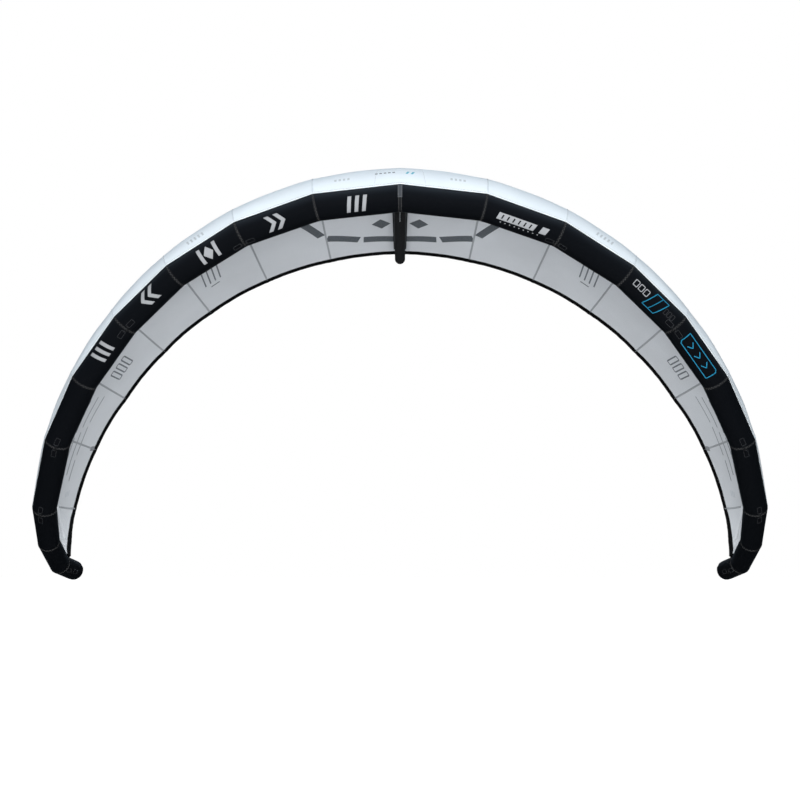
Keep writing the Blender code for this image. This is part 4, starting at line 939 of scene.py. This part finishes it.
faces = grid_faces(*strut_skin.shape[:2], turning=True)
faces.append([(len(strut_skin) - 1) * strut_sides + side for side in range(strut_sides)])
girths = np.append(strut_turns, 2 * math.pi) * strut_front_radius
uvs = grid_uvs(strut_lengths[:, None], girths) + [[(strut_lengths[-1], 0.0)] * strut_sides]
strut_sleeve = thicken(new_piece("strut_sleeve_cloth", strut_skin, faces, strut_cloth, uvs=uvs, flip=True),
                       sleeve_thickness)
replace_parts(strut_sleeve, "strut_sleeve")
along = np.linspace(strut_lengths[1], strut_lengths[-3], 80)
below = np.full(len(along), math.pi)
scuff_cloth = woven_cloth("scuff_cloth", "black_edge_tape", (0.0155, 0.0158, 0.0163),
                          (0.023, 0.0235, 0.024), 0.003, 0.68, specular=0.10)
scuff_half, scuff_end_half, scuff_stitch_inset = 0.050, 0.062, 0.003
scuff_widths = np.interp(along, (0, strut_lengths[-1] * 0.8, strut_lengths[-1]),
                         (scuff_half, scuff_half, scuff_end_half))
sewn_strip("strut_scuff_strip", strut, along, below, scuff_widths, 0.0009, 0.0006, scuff_cloth, lanes=17)
for name, out in (("left", -1), ("right", 1)):
    line = strut.at(*strut.sideways(along, below, (scuff_widths - scuff_stitch_inset) * out), lift=0.0011)
    fine_seam(f"strut_scuff_thread_{name}", line)
thread_line("strut_front_stitches", zigzag(strut, along[:46], below[:46], 0.012, 0.0034, 0.0020), 0.0007,
            white_thread)

flap_cloth = woven_cloth("flap_cloth", "grey_strut_cloth", (0.018, 0.0195, 0.021), (0.026, 0.028, 0.030),
                         0.0075, 0.64, specular=0.15)
flap_shares = np.linspace(0.03, 0.965, 120)
_, flap_middles, flap_ways = strut_rings(flap_shares)
flap_radii, flap_lift, flap_turn = strut_radius(flap_shares), 0.0008, math.radians(38)
for name, out in (("left", -1), ("right", 1)):
    on_strut = [flap_middles + rising(flap_ways) * ((flap_radii + flap_lift) * math.cos(turn))[:, None]
                + np.array((out, 0, 0)) * ((flap_radii + flap_lift) * math.sin(turn))[:, None]
                for turn in (flap_turn * 1.18, flap_turn * 1.06, flap_turn)]
    spread = flap_radii * math.sin(flap_turn) + 0.006
    on_canopy = [canopy.at((spread + more) * out / panel_lengths[0], flap_shares, lift=-lift)
                 for more, lift in ((0.0, 0.0030), (0.007, 0.0012), (0.018, 0.0012), (0.0195, 0.0006))]
    lined_sheet(f"strut_flap_{name}", on_strut + on_canopy, (0.0, 0.008, 0.012, 0.03, 0.037, 0.048, 0.050),
                lengths_along(on_canopy[0]), flap_cloth, 0.0006, 0, flip=out < 0)
    line = canopy.at((spread + 0.0125) * out / panel_lengths[0], flap_shares, lift=-0.0018)
    fine_seam(f"strut_flap_thread_{name}", line)

low_sides = [side for side in range(strut_sides) if 62 <= math.degrees(strut_turns[side]) <= 298]
foot_line = np.array(lead_in[0])[low_sides]
foot_off = off_tube_line(foot_line)
foot_turns = np.mod(np.arctan2(-foot_off[:, 0], foot_off[:, 1]), 2 * math.pi)
saddle_rows, saddle_turns = sleeve.sideways(foot_line[:, 0] / seam_centres[1].x, foot_turns, 0.007)
sewn_strip("strut_saddle_strip", sleeve, saddle_rows, saddle_turns, 0.010, 0.0022, 0.0008, scuff_cloth)
fine_seam("strut_saddle_thread", zigzag(sleeve, saddle_rows, saddle_turns, 0.012, 0.005, 0.0026))


# Strut bladder: a short bag of clear urethane film that fills the strut. It reaches forward to a rounded
# end behind the leading edge and is blown up through the hose.
film_share, film_dome_depth = 0.955, strut_dome_depth - 0.004
rings, middles, ways = strut_rings(np.linspace(0.22, 1 - strut_rear_margin / root_chord, 50))
film_rings = middles[:, None] + (rings - middles[:, None]) * film_share
caps = []
for end, way in ((0, -1), (-1, 1)):
    caps.append([middles[end] + (film_rings[end] - middles[end]) * math.cos(turn)
                 + ways[end] * (way * film_dome_depth * math.sin(turn))
                 for turn in np.radians((15, 30, 45, 60, 75, 86))])
strut_bag = film_bag("strut_bag", np.concatenate((caps[0][::-1], film_rings, caps[1]))[:, ::2])
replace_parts(strut_bag, "strut_bladder")


# Transfer hose: a ribbed-end silicone hose pushed over a welded spigot on each bladder, which comes out
# through a round moulded collar glued to the cloth. A clamp on the hose shuts the strut off.
def finish_node(node, material):
    """Gives a moulded piece of the frame its finish and the slot that goes with it."""
    piece = frame["nodes"][node]
    piece.data.materials.clear()
    piece.data.materials.append(material)
    for face in piece.data.polygons:
        face.material_index = 0


def face_outwards(piece):
    work = bmesh.new()
    work.from_mesh(piece.data)
    bmesh.ops.recalc_face_normals(work, faces=work.faces)
    work.to_mesh(piece.data)
    work.free()
    return piece


def turned_piece(name, profile, foot, way, material, body="airframe", sides=48):
    """A piece turned round a line through its foot, from a closed profile of radii and heights."""
    way = Vector(way).normalized()
    turn = way.to_track_quat("Z", "Y").to_matrix()
    spots = [2 * math.pi * side / sides for side in range(sides)]
    rings = [[Vector(foot) + turn @ Vector((radius * math.cos(spot), radius * math.sin(spot), height))
              for spot in spots] for radius, height in profile + profile[:1]]
    faces = grid_faces(len(rings), sides, turning=True)
    faces = [[corner % (len(profile) * sides) for corner in face] for face in faces]
    return face_outwards(new_piece(name, rings[:-1], faces, material, body))


def moulded(name, slot, colour, roughness, specular=0.45, grain=0.03):
    return plain_finish(name, slot, colour, roughness, specular, grain)


hose_finish = moulded("hose_finish", "hose_silicone", (0.34, 0.37, 0.40), 0.35, specular=0.5)
clamp_finish = moulded("clamp_finish", "black_clamp_plastic", (0.012, 0.012, 0.013), 0.42, grain=0.06)
collar_film = moulded("collar_film", "clear_bladder_film", (0.10, 0.105, 0.11), 0.38, grain=0.06)
for node, material in (("transfer_hose", hose_finish), ("hose_clamp_collar", clamp_finish),
                       ("hose_clamp_lever", clamp_finish)):
    finish_node(node, material)
tube_port_station, tube_port_angle, strut_port_share = 0.24, 292.5, 0.34
tube_port_turn = math.radians(tube_port_angle) + twist_at(tube_port_station)
tube_port = np.array(ring_point(0, tube_port_turn, radius_at(0))) * (1 - tube_port_station)
tube_port = tube_port + np.array(ring_point(1, tube_port_turn, radius_at(1))) * tube_port_station
strut_port = strut_rings(np.array([strut_port_share]))[1][0]
strut_port = strut_port + np.array((strut_radius(strut_port_share), 0, 0))
tube_port_way = tube_port - np.array(tube_centre(tube_port_station))
port_collar = [(0.0072, 0.0065), (0.0088, 0.0062), (0.0094, 0.0030), (0.0165, 0.0020),
               (0.0185, 0.0004), (0.0185, -0.0020), (0.0072, -0.0020)]
port_spigot = [(0.0026, -0.004), (0.0041, -0.004), (0.0041, 0.0115), (0.0026, 0.0115)]
for name, foot, way in (("tube", tube_port, tube_port_way), ("strut", strut_port, np.array((1.0, 0, 0)))):
    way = way / np.linalg.norm(way)
    turned_piece(f"{name}_port_collar", port_collar, foot, way, collar_film)
    turned_piece(f"{name}_port_spigot", port_spigot, foot, way, bladder_film, sides=24)


# Inflation valve: a moulded seat welded to the bladder comes out through a hole in the sleeve, with a
# ring of cloth sewn round it. A screwed insert carries a rubber flap inside and a cap on a hinge.
valve_grey = moulded("valve_grey", "grey_valve_plastic", (0.20, 0.205, 0.21), 0.42)
valve_dark = moulded("valve_dark", "grey_valve_plastic", (0.045, 0.047, 0.05), 0.40)
flap_rubber = moulded("flap_rubber", "valve_flap_rubber", (0.30, 0.31, 0.31), 0.5, specular=0.4)
valve_ring_radius, valve_ring_half, valve_stitch_half = 0.0405, 0.0085, 0.0060
valve_turn = 1.5 * math.pi
for node, material in (("inflation_valve_seat", valve_grey), ("inflation_valve_insert", valve_dark),
                       ("inflation_valve_cap", valve_dark), ("inflation_valve_flap", flap_rubber)):
    finish_node(node, material)


def valve_circle(radius):
    """Rows and turns of a circle on the sleeve, round the valve."""
    circle = np.linspace(0, 2 * math.pi, 97)
    return sleeve.places(valve_x / seam_centres[1].x, valve_turn, radius * np.cos(circle),
                         radius * np.sin(circle))


ring_rows, ring_turns = valve_circle(valve_ring_radius)
sewn_strip("valve_patch_ring", sleeve, ring_rows[:-1], ring_turns[:-1], valve_ring_half, 0.0011, 0.0007,
           seam_tape_cloth, closed=True)
for name, radius in (("inner", valve_ring_radius - valve_stitch_half),
                     ("outer", valve_ring_radius + valve_stitch_half)):
    line = sleeve.at(*valve_circle(radius), lift=0.0013)
    fine_seam(f"valve_patch_thread_{name}", line)
cap_line = Vector(next(joint for joint in frame["joints"] if joint["name"] == "valve_cap_flip")["pos_m"])
pin_radius, pin_chamfer, pin_core = 0.0014, 0.0003, 0.0001
for name, first, last, body in (("cap_knuckle", -0.0030, 0.0030, "valve_cap"),
                                ("cap_lug_left", -0.0062, -0.0033, "valve_insert"),
                                ("cap_lug_right", 0.0033, 0.0062, "valve_insert")):
    pin = [(pin_core, first), (pin_radius * 0.8, first), (pin_radius, first + pin_chamfer),
           (pin_radius, last - pin_chamfer), (pin_radius * 0.8, last), (pin_core, last)]
    turned_piece(name, pin, cap_line, (1, 0, 0), valve_dark, body, sides=24)


# Tip battens: a flat glass-fibre rod in a long pocket on the inner face of each tip panel. The pocket is
# a strip of canopy cloth sewn down on both sides and closed at its ends.
batten_rod = plain_finish("batten_rod", "pale_batten_rod", (0.55, 0.57, 0.50), 0.35, specular=0.5)
pocket_cloth = woven_cloth("pocket_cloth", "pale_canopy_cloth", (0.80, 0.82, 0.84), (0.70, 0.72, 0.75),
                           ripstop_pitch, 0.6, specular=0.2)
batten_rows = np.linspace(7.03, 7.97, 70)
batten_depths = np.interp(batten_rows, (7.06, 7.25, 7.5, 7.75, 7.94), (0.70, 0.72, 0.745, 0.77, 0.79))
pocket_front, pocket_rear = 0.014, np.interp(batten_rows, (7.0, 8.0), (0.034, 0.018))
closing = np.clip(np.minimum(batten_rows - 7.03, 7.97 - batten_rows) / 0.03, 0, 1)
for side, half in halves:
    finish_node(f"tip_batten_{half}", batten_rod)
    lines = []
    for share, rise in ((-1.0, 0.0004), (-0.97, 0.0010), (-0.62, 0.0012), (-0.42, 0.0070), (0.0, 0.0076),
                        (0.38, 0.0070), (0.55, 0.0012), (0.97, 0.0010), (1.0, 0.0004)):
        reach = np.where(share > 0.5, pocket_rear * share, pocket_front * share)
        height = np.where(rise > 0.002, 0.0012 + (rise - 0.0012) * closing, rise)
        lines.append(canopy.at(*canopy.sideways(batten_rows, batten_depths, -reach), lift=-height))
    lined_sheet(f"batten_pocket_{half}", lines, np.linspace(-0.014, 0.03, 9), lengths_along(lines[4]),
                pocket_cloth, 0.0004, side=side, flip=True)
    for name, line in (("front", lines[1]), ("rear", lines[7])):
        fine_seam(f"batten_thread_{name}_{half}", line, side=side)


# Line loops: black webbing folded double, gathered at both ends and sewn down beside a seam of the
# sleeve. Two stitched patches of black cloth, one on each side of the seam, spread the pull of the line.
loop_webbing = woven_cloth("loop_webbing", "black_webbing", (0.0065, 0.0067, 0.0073),
                           (0.016, 0.0165, 0.018), 0.0016, 0.75, specular=0.15, line_depth=0.0001)
patch_cloth = woven_cloth("patch_cloth", "black_webbing", (0.0032, 0.0035, 0.0046),
                          (0.0052, 0.0058, 0.0074), 0.003, 0.62, sheen=0.10, specular=0.05)
patch_thread = thread_finish("patch_thread", "black_webbing", (0.045, 0.047, 0.050))
loop_half_width, loop_height, loop_corner = 0.014, 0.022, 0.008
loop_ring_gap, loop_spot_gap, loop_spots = 0.0021, 0.0014, 20
whipping_turns, whipping_radius, whipping_start, whipping_height = 5, 0.0019, 0.0026, 0.0030


def outline_of(points, spacing=0.005):
    """A closed outline with a point every few millimetres, from its corners."""
    points = np.array(points, float)
    closed = np.concatenate((points, points[:1]))
    reach = lengths_along(closed)
    where = np.linspace(0, reach[-1], max(8, round(reach[-1] / spacing)) + 1)[:-1]
    where = np.unique(np.concatenate((where, reach[:-1])))
    return np.stack([np.interp(where, reach, closed[:, axis]) for axis in (0, 1)], axis=1)


def rounded_box(half_east, half_north, corner):
    turns = np.radians(np.linspace(0, 90, 7))
    points = []
    for quarter, (east, north) in enumerate(((1, 1), (-1, 1), (-1, -1), (1, -1))):
        points += [(east * (half_east - corner) + corner * math.cos(turn + quarter * math.pi / 2),
                    north * (half_north - corner) + corner * math.sin(turn + quarter * math.pi / 2))
                   for turn in turns]
    return outline_of(points)


def laid_shapes(name, cloth, row, column, outlines, lift, thickness, material, side=1, under=False):
    """Flat shapes laid or printed on cloth about one place, each filled from its outline to its middle."""
    points, faces, uvs = [], [], []
    for outline in outlines:
        middle = outline.mean(axis=0)
        start, count = len(points), len(outline)
        flats = []
        for share in (1.0, 0.96, 0.66, 0.33):
            flat = middle + (outline - middle) * share
            height = lift - thickness * 0.6 if share == 1.0 else lift
            places = cloth.places(row, column, flat[:, 0], flat[:, 1])
            points += list(cloth.at(*places, lift=-height if under else height))
            flats += [tuple(corner) for corner in flat]
        places = cloth.places(row, column, middle[:1], middle[1:])
        points += list(cloth.at(*places, lift=-lift if under else lift))
        flats.append(tuple(middle))
        mine = grid_faces(4, count, turning=True)
        mine += [[3 * count + spot, 4 * count, 3 * count + (spot + 1) % count] for spot in range(count)]
        faces += [[start + corner for corner in face] for face in mine]
        uvs += [[flats[corner] for corner in face] for face in mine]
    piece = new_piece(name, points, faces, material, side=side, uvs=uvs, flip=not under)
    return thicken(piece, thickness)


def laid_line(name, cloth, row, column, corners, half_width, lift, thickness, material, side=1, under=False,
              closed=True):
    """A band of one width laid or printed along a line given in metres about one place."""
    flat = outline_of(corners)
    if not closed:
        flat = flat[:np.argmin(np.linalg.norm(flat - np.array(corners[-1]), axis=1)) + 1]
    rows, columns = cloth.places(row, column, flat[:, 0], flat[:, 1])
    return sewn_strip(name, cloth, rows, columns, half_width, lift, thickness, material, closed=closed,
                      side=side, lanes=2, under=under)


def webbing_loop(name, joint):
    """A loop hung from the line of its joint: gathered round at both feet, flat along its crown."""
    root, axis = Vector(joint["pos_m"]), Vector(joint["axis"]).normalized()
    down = Vector((0, 0, -1))
    hang = (down - axis * down.dot(axis)).normalized()
    through = axis.cross(hang)
    path = [(-loop_half_width, -0.0012, math.pi / 2, 0.0), (-loop_half_width, 0.0, math.pi / 2, 0.0)]
    for part in np.linspace(0.125, 1, 8):
        path.append((-loop_half_width, (loop_height - loop_corner) * part, math.pi / 2,
                     0.6 * part * part * (3 - 2 * part)))
    for turn in np.radians(np.linspace(80, 0, 9)):
        path.append((-loop_half_width + loop_corner * (1 - math.sin(turn)),
                     loop_height - loop_corner * (1 - math.cos(turn)), turn, 1 - 0.8 * turn / math.pi))
    path += [(out, loop_height, 0.0, 1.0) for out in (-0.003, 0.0)]
    path += [(-out, drop, -turn, flat) for out, drop, turn, flat in path[-2::-1]]
    rings = []
    for out, drop, turn, flat in path:
        outside = hang * math.cos(turn) - axis * math.sin(turn)
        wide, deep = 0.0016 + 0.0044 * flat, 0.0016 - 0.0005 * flat
        power = 1 - 0.65 * flat
        ring = []
        for spot in range(loop_spots):
            cos, sin = (way(2 * math.pi * (spot + 0.5) / loop_spots) for way in (math.cos, math.sin))
            ring.append(root + axis * out + hang * drop
                        + through * (wide * math.copysign(abs(cos) ** power, cos))
                        + outside * (deep * math.copysign(abs(sin) ** power, sin)))
        rings.append(ring)
    faces = grid_faces(len(rings), loop_spots, turning=True)
    uvs = grid_uvs(np.arange(len(rings))[:, None] * loop_ring_gap, np.arange(loop_spots + 1) * loop_spot_gap)
    for ring in (0, len(rings) - 1):
        faces.append([ring * loop_spots + spot for spot in range(loop_spots)])
        uvs.append([(ring * loop_ring_gap, 0.0)] * loop_spots)
    piece = face_outwards(new_piece(name, rings, faces, loop_webbing, joint["child"], uvs=uvs))
    last_turn = whipping_turns * 2 * math.pi
    for end, out in (("near", -loop_half_width), ("far", loop_half_width)):
        helix = [root + axis * (out + whipping_radius * math.cos(turn))
                 + hang * (whipping_start + whipping_height * turn / last_turn)
                 + through * (whipping_radius * math.sin(turn)) for turn in np.linspace(0, last_turn, 80)]
        thread_line(f"{name}_whipping_{end}", helix, 0.0003, patch_thread, body=joint["child"], sides=4)
    return piece


line_loops = [(f"bridle_loop_{{half}}_{seam}", f"loop_{{half}}_{seam}_swing", seam, angle)
              for seam, angle in ((2, 150), (4, 120), (6, 105), (7, 90))]
line_loops.append(("rear_line_loop_{half}", "loop_rear_{half}_swing", 9.35, 125))
patch_gap, patch_height, patch_corner, patch_hem, tack_gap = 0.0178, 0.0175, 0.006, 0.0022, 0.0065
full_patch, patch_panel_share = 0.032, 0.22
for side, half in halves:
    for node, swing, station, angle in line_loops:
        node, swing = node.format(half=half), swing.format(half=half)
        joint = next(joint for joint in frame["joints"] if joint["name"] == swing)
        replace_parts(webbing_loop(f"{node}_webbing", joint), node)
        for name, out in (("inner", -1), ("outer", 1)):
            panel = min(int(station + 0.01 * out), panel_count - 1)
            length = panel_lengths[panel]
            patch_half = min(full_patch, length * patch_panel_share)
            row = station + out * (patch_gap + patch_half) / length
            column = math.radians(angle) + twist_at(row)
            laid_shapes(f"{node}_patch_{name}", sleeve, row, column,
                        [rounded_box(patch_half, patch_height, patch_corner)], 0.0008, 0.0006, patch_cloth,
                        side=side)
            edge = rounded_box(patch_half - patch_hem, 0.0153, 0.0045)
            edge = np.concatenate((edge, edge[:1]))
            line = sleeve.at(*sleeve.places(row, column, edge[:, 0], edge[:, 1]), lift=0.0010)
            thread_line(f"{node}_patch_thread_{name}", line, 0.0011, patch_thread, side=side)
            tack = np.linspace(-0.011, 0.011, 24) / radius_at(station)
            rows = np.full(len(tack), station + out * (patch_gap + tack_gap) / length)
            thread_line(f"{node}_tack_{name}", zigzag(sleeve, rows, column + tack, 0.0018, 0.0016, 0.0011),
                        0.0004, patch_thread, side=side, sides=4)


# Ends of the canopy: a tab of black tape ties the trailing edge down to the end of the tube, and a small
# grey patch on each face, at the sixth seam, takes the pull where the edge bends most.
grey_patch = woven_cloth("grey_patch", "grey_strut_cloth", (0.27, 0.28, 0.295), (0.31, 0.32, 0.335), 0.004,
                         0.65, specular=0.2)
tab_station, tab_overlap, tab_lift, tab_inner_lift = 9.05, 0.05, 0.0014, -0.0022
for side, half in halves:
    tab_depths = np.linspace(0.0, 1.0, 9)
    start_points = canopy.at(np.full(9, canopy_end), tab_depths)
    out = start_points[-1] - np.array(tube_centre(tab_station))
    _, outward, rearward = (np.array(way) for way in tube_frame(tab_station))
    tab_turn = math.atan2(-(out @ rearward), out @ outward) + twist_at(tab_station)
    first_turn = math.radians(sewn_angles[-1]) + twist_at(canopy_end)
    landing, beyond = (sleeve.at(np.linspace(canopy_end + past, last_row, 9),
                                 np.linspace(first_turn, tab_turn, 9), lift=0.0012)
                       for past, last_row in ((0.02, 9.10), (0.06, 9.16)))
    tab = [canopy.at(np.full(9, canopy_end - tab_overlap), tab_depths, lift=tab_lift)]
    tab += [start_points + (landing - start_points) * share for share in (0.0, 0.35, 0.7, 1.0)] + [beyond]
    inner = [canopy.at(np.full(9, canopy_end - tab_overlap * share), tab_depths, lift=tab_inner_lift)
             for share in (1.0, 0.5, 0.0)]
    inner += [inner[-1] + (landing - inner[-1]) * share for share in (0.35, 0.7, 1.0)]
    for name, lines in (("tip_tab", tab), ("tip_tab_inner", inner)):
        lined_sheet(f"{name}_{half}", lines, np.linspace(0, 0.05, 6), np.linspace(0, 0.04, 9),
                    edge_tape_cloth, 0.0008, 0, side=side, flip=lines is inner)
    for name, under in (("edge_patch", True), ("edge_patch_above", False)):
        laid_shapes(f"{name}_{half}", canopy, 6.0, 0.945, [rounded_box(0.020, 0.030, 0.010)], 0.0016, 0.0005,
                    grey_patch, side=side, under=under)


# Prints on the sleeve: plain bars, chevrons and lozenges in light grey, one group on each of the first
# five left panels, and a ruled plate, open boxes and a blue frame on the right, all inked on the cloth.
def ink(name, slot, colour, line_colour=None):
    return woven_cloth(name, slot, colour, line_colour or colour, 0.0075, 0.6, specular=0.12)


def slanted_bars(easts, north, width, height, slant=0.0):
    """Bars side by side about one place, the top of each moved aside from its foot by the slant."""
    half, reach, lean = width / 2, height / 2, slant / 2
    return [outline_of([(east - half - lean, north - reach), (east + half - lean, north - reach),
                        (east + half + lean, north + reach), (east - half + lean, north + reach)])
            for east in easts]


def chevrons(easts, width, height, reach):
    """Chevrons side by side: each is two bars that meet in a point."""
    drawn = []
    for east in easts:
        low = [(east, -height / 2), (east + width, -height / 2), (east + width + reach, 0), (east + reach, 0)]
        drawn += [outline_of(low), outline_of([(x, -y) for x, y in low][::-1])]
    return drawn


sleeve_ink, canopy_ink = (0.0006, 0.0003), (0.0008, 0.0003)
grey_ink = ink("grey_ink", "black_sleeve_cloth", (0.285, 0.29, 0.30))
blue_ink = ink("blue_ink", "black_sleeve_cloth", (0.016, 0.20, 0.34))
dark_ink = ink("dark_ink", "black_sleeve_cloth", (0.032, 0.033, 0.036))
black_ink = ink("black_ink", "black_sleeve_cloth", (0.005, 0.005, 0.006))
big_bar = (0, 0.026, 0.115)
left_prints = ((-0.51, 112, slanted_bars((-0.052, 0, 0.052), *big_bar, 0.02)),
               (-1.51, 110, chevrons((-0.075, -0.010), 0.032, 0.115, 0.045)),
               (-2.45, 103, slanted_bars((-0.060, 0.060), *big_bar)
                + [outline_of([(-0.038, 0), (0, -0.052), (0.038, 0), (0, 0.052)])]),
               (-3.50, 92, chevrons((0.005, 0.070), 0.032, 0.115, -0.045)),
               (-4.45, 95, slanted_bars((-0.052, 0, 0.052), *big_bar, -0.02)))
for row, angle, shapes in left_prints:
    laid_shapes(f"sleeve_print_{round(-row * 2 + 1) // 2}", sleeve, row, math.radians(angle) + twist_at(-row),
                shapes, *sleeve_ink, grey_ink)

plate_place = (1.49, math.radians(118) + twist_at(1.49))
plate = slanted_bars((-0.036,), 0, 0.270, 0.050, 0.014) + slanted_bars((0.163,), 0, 0.050, 0.050, 0.014)
laid_shapes("plate_print", sleeve, *plate_place, plate, *sleeve_ink, grey_ink)
laid_shapes("plate_slots", sleeve, *plate_place,
            slanted_bars(-0.136 + 0.04 * np.arange(6), 0, 0.010, 0.030, 0.008), 0.0009, 0.0002, black_ink)
laid_shapes("plate_dots", sleeve, *plate_place,
            slanted_bars(-0.140 + 0.034 * np.arange(9), -0.042, 0.008, 0.008), *sleeve_ink, grey_ink)
frames_column = math.radians(103) + twist_at(3.5)
for step in range(3):
    laid_line(f"light_frame_{step}", sleeve, 3.26, math.radians(103) + twist_at(3.26),
              rounded_box(0.017, 0.021, 0.006) + (0.048 * (step - 1), 0.010), 0.0032, *sleeve_ink,
              grey_ink)
for step in range(2):
    laid_line(f"blue_lozenge_{step}", sleeve, 3.51, frames_column,
              [(-0.050 + 0.055 * step, -0.062), (0.005 + 0.055 * step, -0.062), (0.045 + 0.055 * step, 0.062),
               (-0.010 + 0.055 * step, 0.062)], 0.0030, 0.0009, 0.0003, blue_ink)
for step in range(3):
    laid_line(f"dark_frame_{step}", sleeve, 3.80, math.radians(96) + twist_at(3.80),
              rounded_box(0.011, 0.020, 0.005) + (0.031 * (step - 1), 0.0), 0.0020, 0.0012, 0.0003, dark_ink)
blue_row = 4.51
blue_column = math.radians(104) + twist_at(blue_row)
laid_line("blue_frame", sleeve, blue_row, blue_column,
          [(-0.165, -0.030), (-0.150, -0.046), (0.165, -0.046),
           (0.165, 0.030), (0.150, 0.046), (-0.165, 0.046)],
          0.0032, *sleeve_ink, blue_ink)
for step in range(3):
    laid_line(f"blue_chevron_{step}", sleeve, blue_row, blue_column,
              [(-0.105 + 0.085 * step, -0.024), (-0.070 + 0.085 * step, 0.0), (-0.105 + 0.085 * step, 0.024)],
              0.0032, *sleeve_ink, blue_ink, closed=False)


# Prints on the canopy: dark grey bars along the middle panels with a lozenge on each side of the strut,
# small groups of slanted bars on the outer panels and long thin rules towards the tips. They are inked
# on the inner face. A few small marks are inked above, behind the tube.
band_ink = ink("band_ink", "pale_canopy_cloth", (0.066, 0.076, 0.084), (0.24, 0.26, 0.28))
rule_ink = ink("rule_ink", "pale_canopy_cloth", (0.20, 0.215, 0.235))
faint_ink = ink("faint_ink", "pale_canopy_cloth", (0.56, 0.60, 0.63))
dark_bars = (((1.33, 0.665), (1.06, 0.815)), ((0.99, 0.838), (0.56, 0.880)),
             ((0.50, 0.884), (0.085, 0.895)))
long_rules = (((5.14, 0.80), (5.62, 0.80)), ((5.70, 0.80), (6.18, 0.80)), ((6.26, 0.80), (6.60, 0.80)),
              ((5.30, 0.70), (5.86, 0.70)), ((5.94, 0.70), (6.45, 0.70)), ((5.20, 0.75), (5.74, 0.75)),
              ((5.82, 0.75), (6.52, 0.75)), ((5.44, 0.65), (6.20, 0.65)))
canopy_lozenge = [outline_of([(-0.075, 0), (0, -0.075), (0.075, 0), (0, 0.075)])]
canopy_marks = (slanted_bars(0.046 * (np.arange(4) - 1.5), 0, 0.012, 0.21, 0.03)
                + slanted_bars((0.012,), 0.155, 0.080, 0.014) + slanted_bars((-0.012,), -0.155, 0.080, 0.014))
dashes = [slanted_bars((0.0,), 0.022 * (step - 1), 0.050, 0.008)[0] for step in range(3)]


def ruled(name, ends, count, half_width, material, lanes, side):
    """A straight band inked under the canopy, from one row and depth to another."""
    (first_row, first_depth), (last_row, last_depth) = ends
    part = np.linspace(0, 1, count)
    sewn_strip(name, canopy, first_row + (last_row - first_row) * part,
               first_depth + (last_depth - first_depth) * part, half_width, *canopy_ink, material, side=side,
               lanes=lanes, under=True)


for side, half in halves:
    for place, ends in enumerate(dark_bars):
        ruled(f"canopy_bar_{half}_{place}", ends, 40, 0.046 if place else 0.034, band_ink, 9, side)
    laid_shapes(f"canopy_lozenge_{half}", canopy, 0.25, 0.79, canopy_lozenge, *canopy_ink, band_ink,
                side=side, under=True)
    laid_shapes(f"canopy_marks_{half}_3", canopy, 2.68, 0.76, canopy_marks, *canopy_ink, rule_ink,
                side=side, under=True)
    for step in range(3):
        laid_line(f"canopy_frame_{half}_{step}", canopy, 4.62, 0.79, rounded_box(0.020, 0.085, 0.010)
                  + (0.070 * (step - 1), 0.0), 0.0058, *canopy_ink, rule_ink, side=side, under=True)
    for place, ends in enumerate(long_rules):
        ruled(f"canopy_rule_{half}_{place}", ends, 30, 0.0040, rule_ink, 2, side)
    laid_shapes(f"canopy_dashes_{half}", canopy, 6.80, 0.82, dashes, *canopy_ink, faint_ink, side=side,
                under=True)
    laid_shapes(f"top_marks_{half}_3", canopy, 2.54, 0.075,
                slanted_bars(0.030 * (np.arange(5) - 2), 0, 0.014, 0.060, 0.012), *canopy_ink, faint_ink,
                side=side)
    laid_shapes(f"top_marks_{half}_1", canopy, 0.66, 0.086,
                slanted_bars(0.030 * (np.arange(4) - 1.5), 0, 0.016, 0.036), *canopy_ink, faint_ink,
                side=side)
laid_shapes("top_blue_mark", canopy, 0.115, 0.105,
            slanted_bars(0.036 * np.array((-0.5, 0.5)), 0, 0.016, 0.046, 0.014), 0.0010, 0.0003,
            ink("top_blue_ink", "pale_canopy_cloth", (0.16, 0.47, 0.58)))
laid_shapes("top_grey_mark", canopy, -0.170, 0.108, slanted_bars(0.030 * np.arange(-2, 3), 0, 0.018, 0.020),
            0.0010, 0.0003, rule_ink)
nose_rows = np.interp(np.linspace(0, 2, 60), range(3), (0.0, 0.255, 0.29))
nose_depths = np.interp(np.linspace(0, 2, 60), range(3), (0.162, 0.158, 0.020))
for side, half in halves:
    thread_line(f"nose_patch_thread_{half}", canopy.at(nose_rows, nose_depths, lift=0.0012), 0.0009,
                pale_thread, side=side, sides=4)
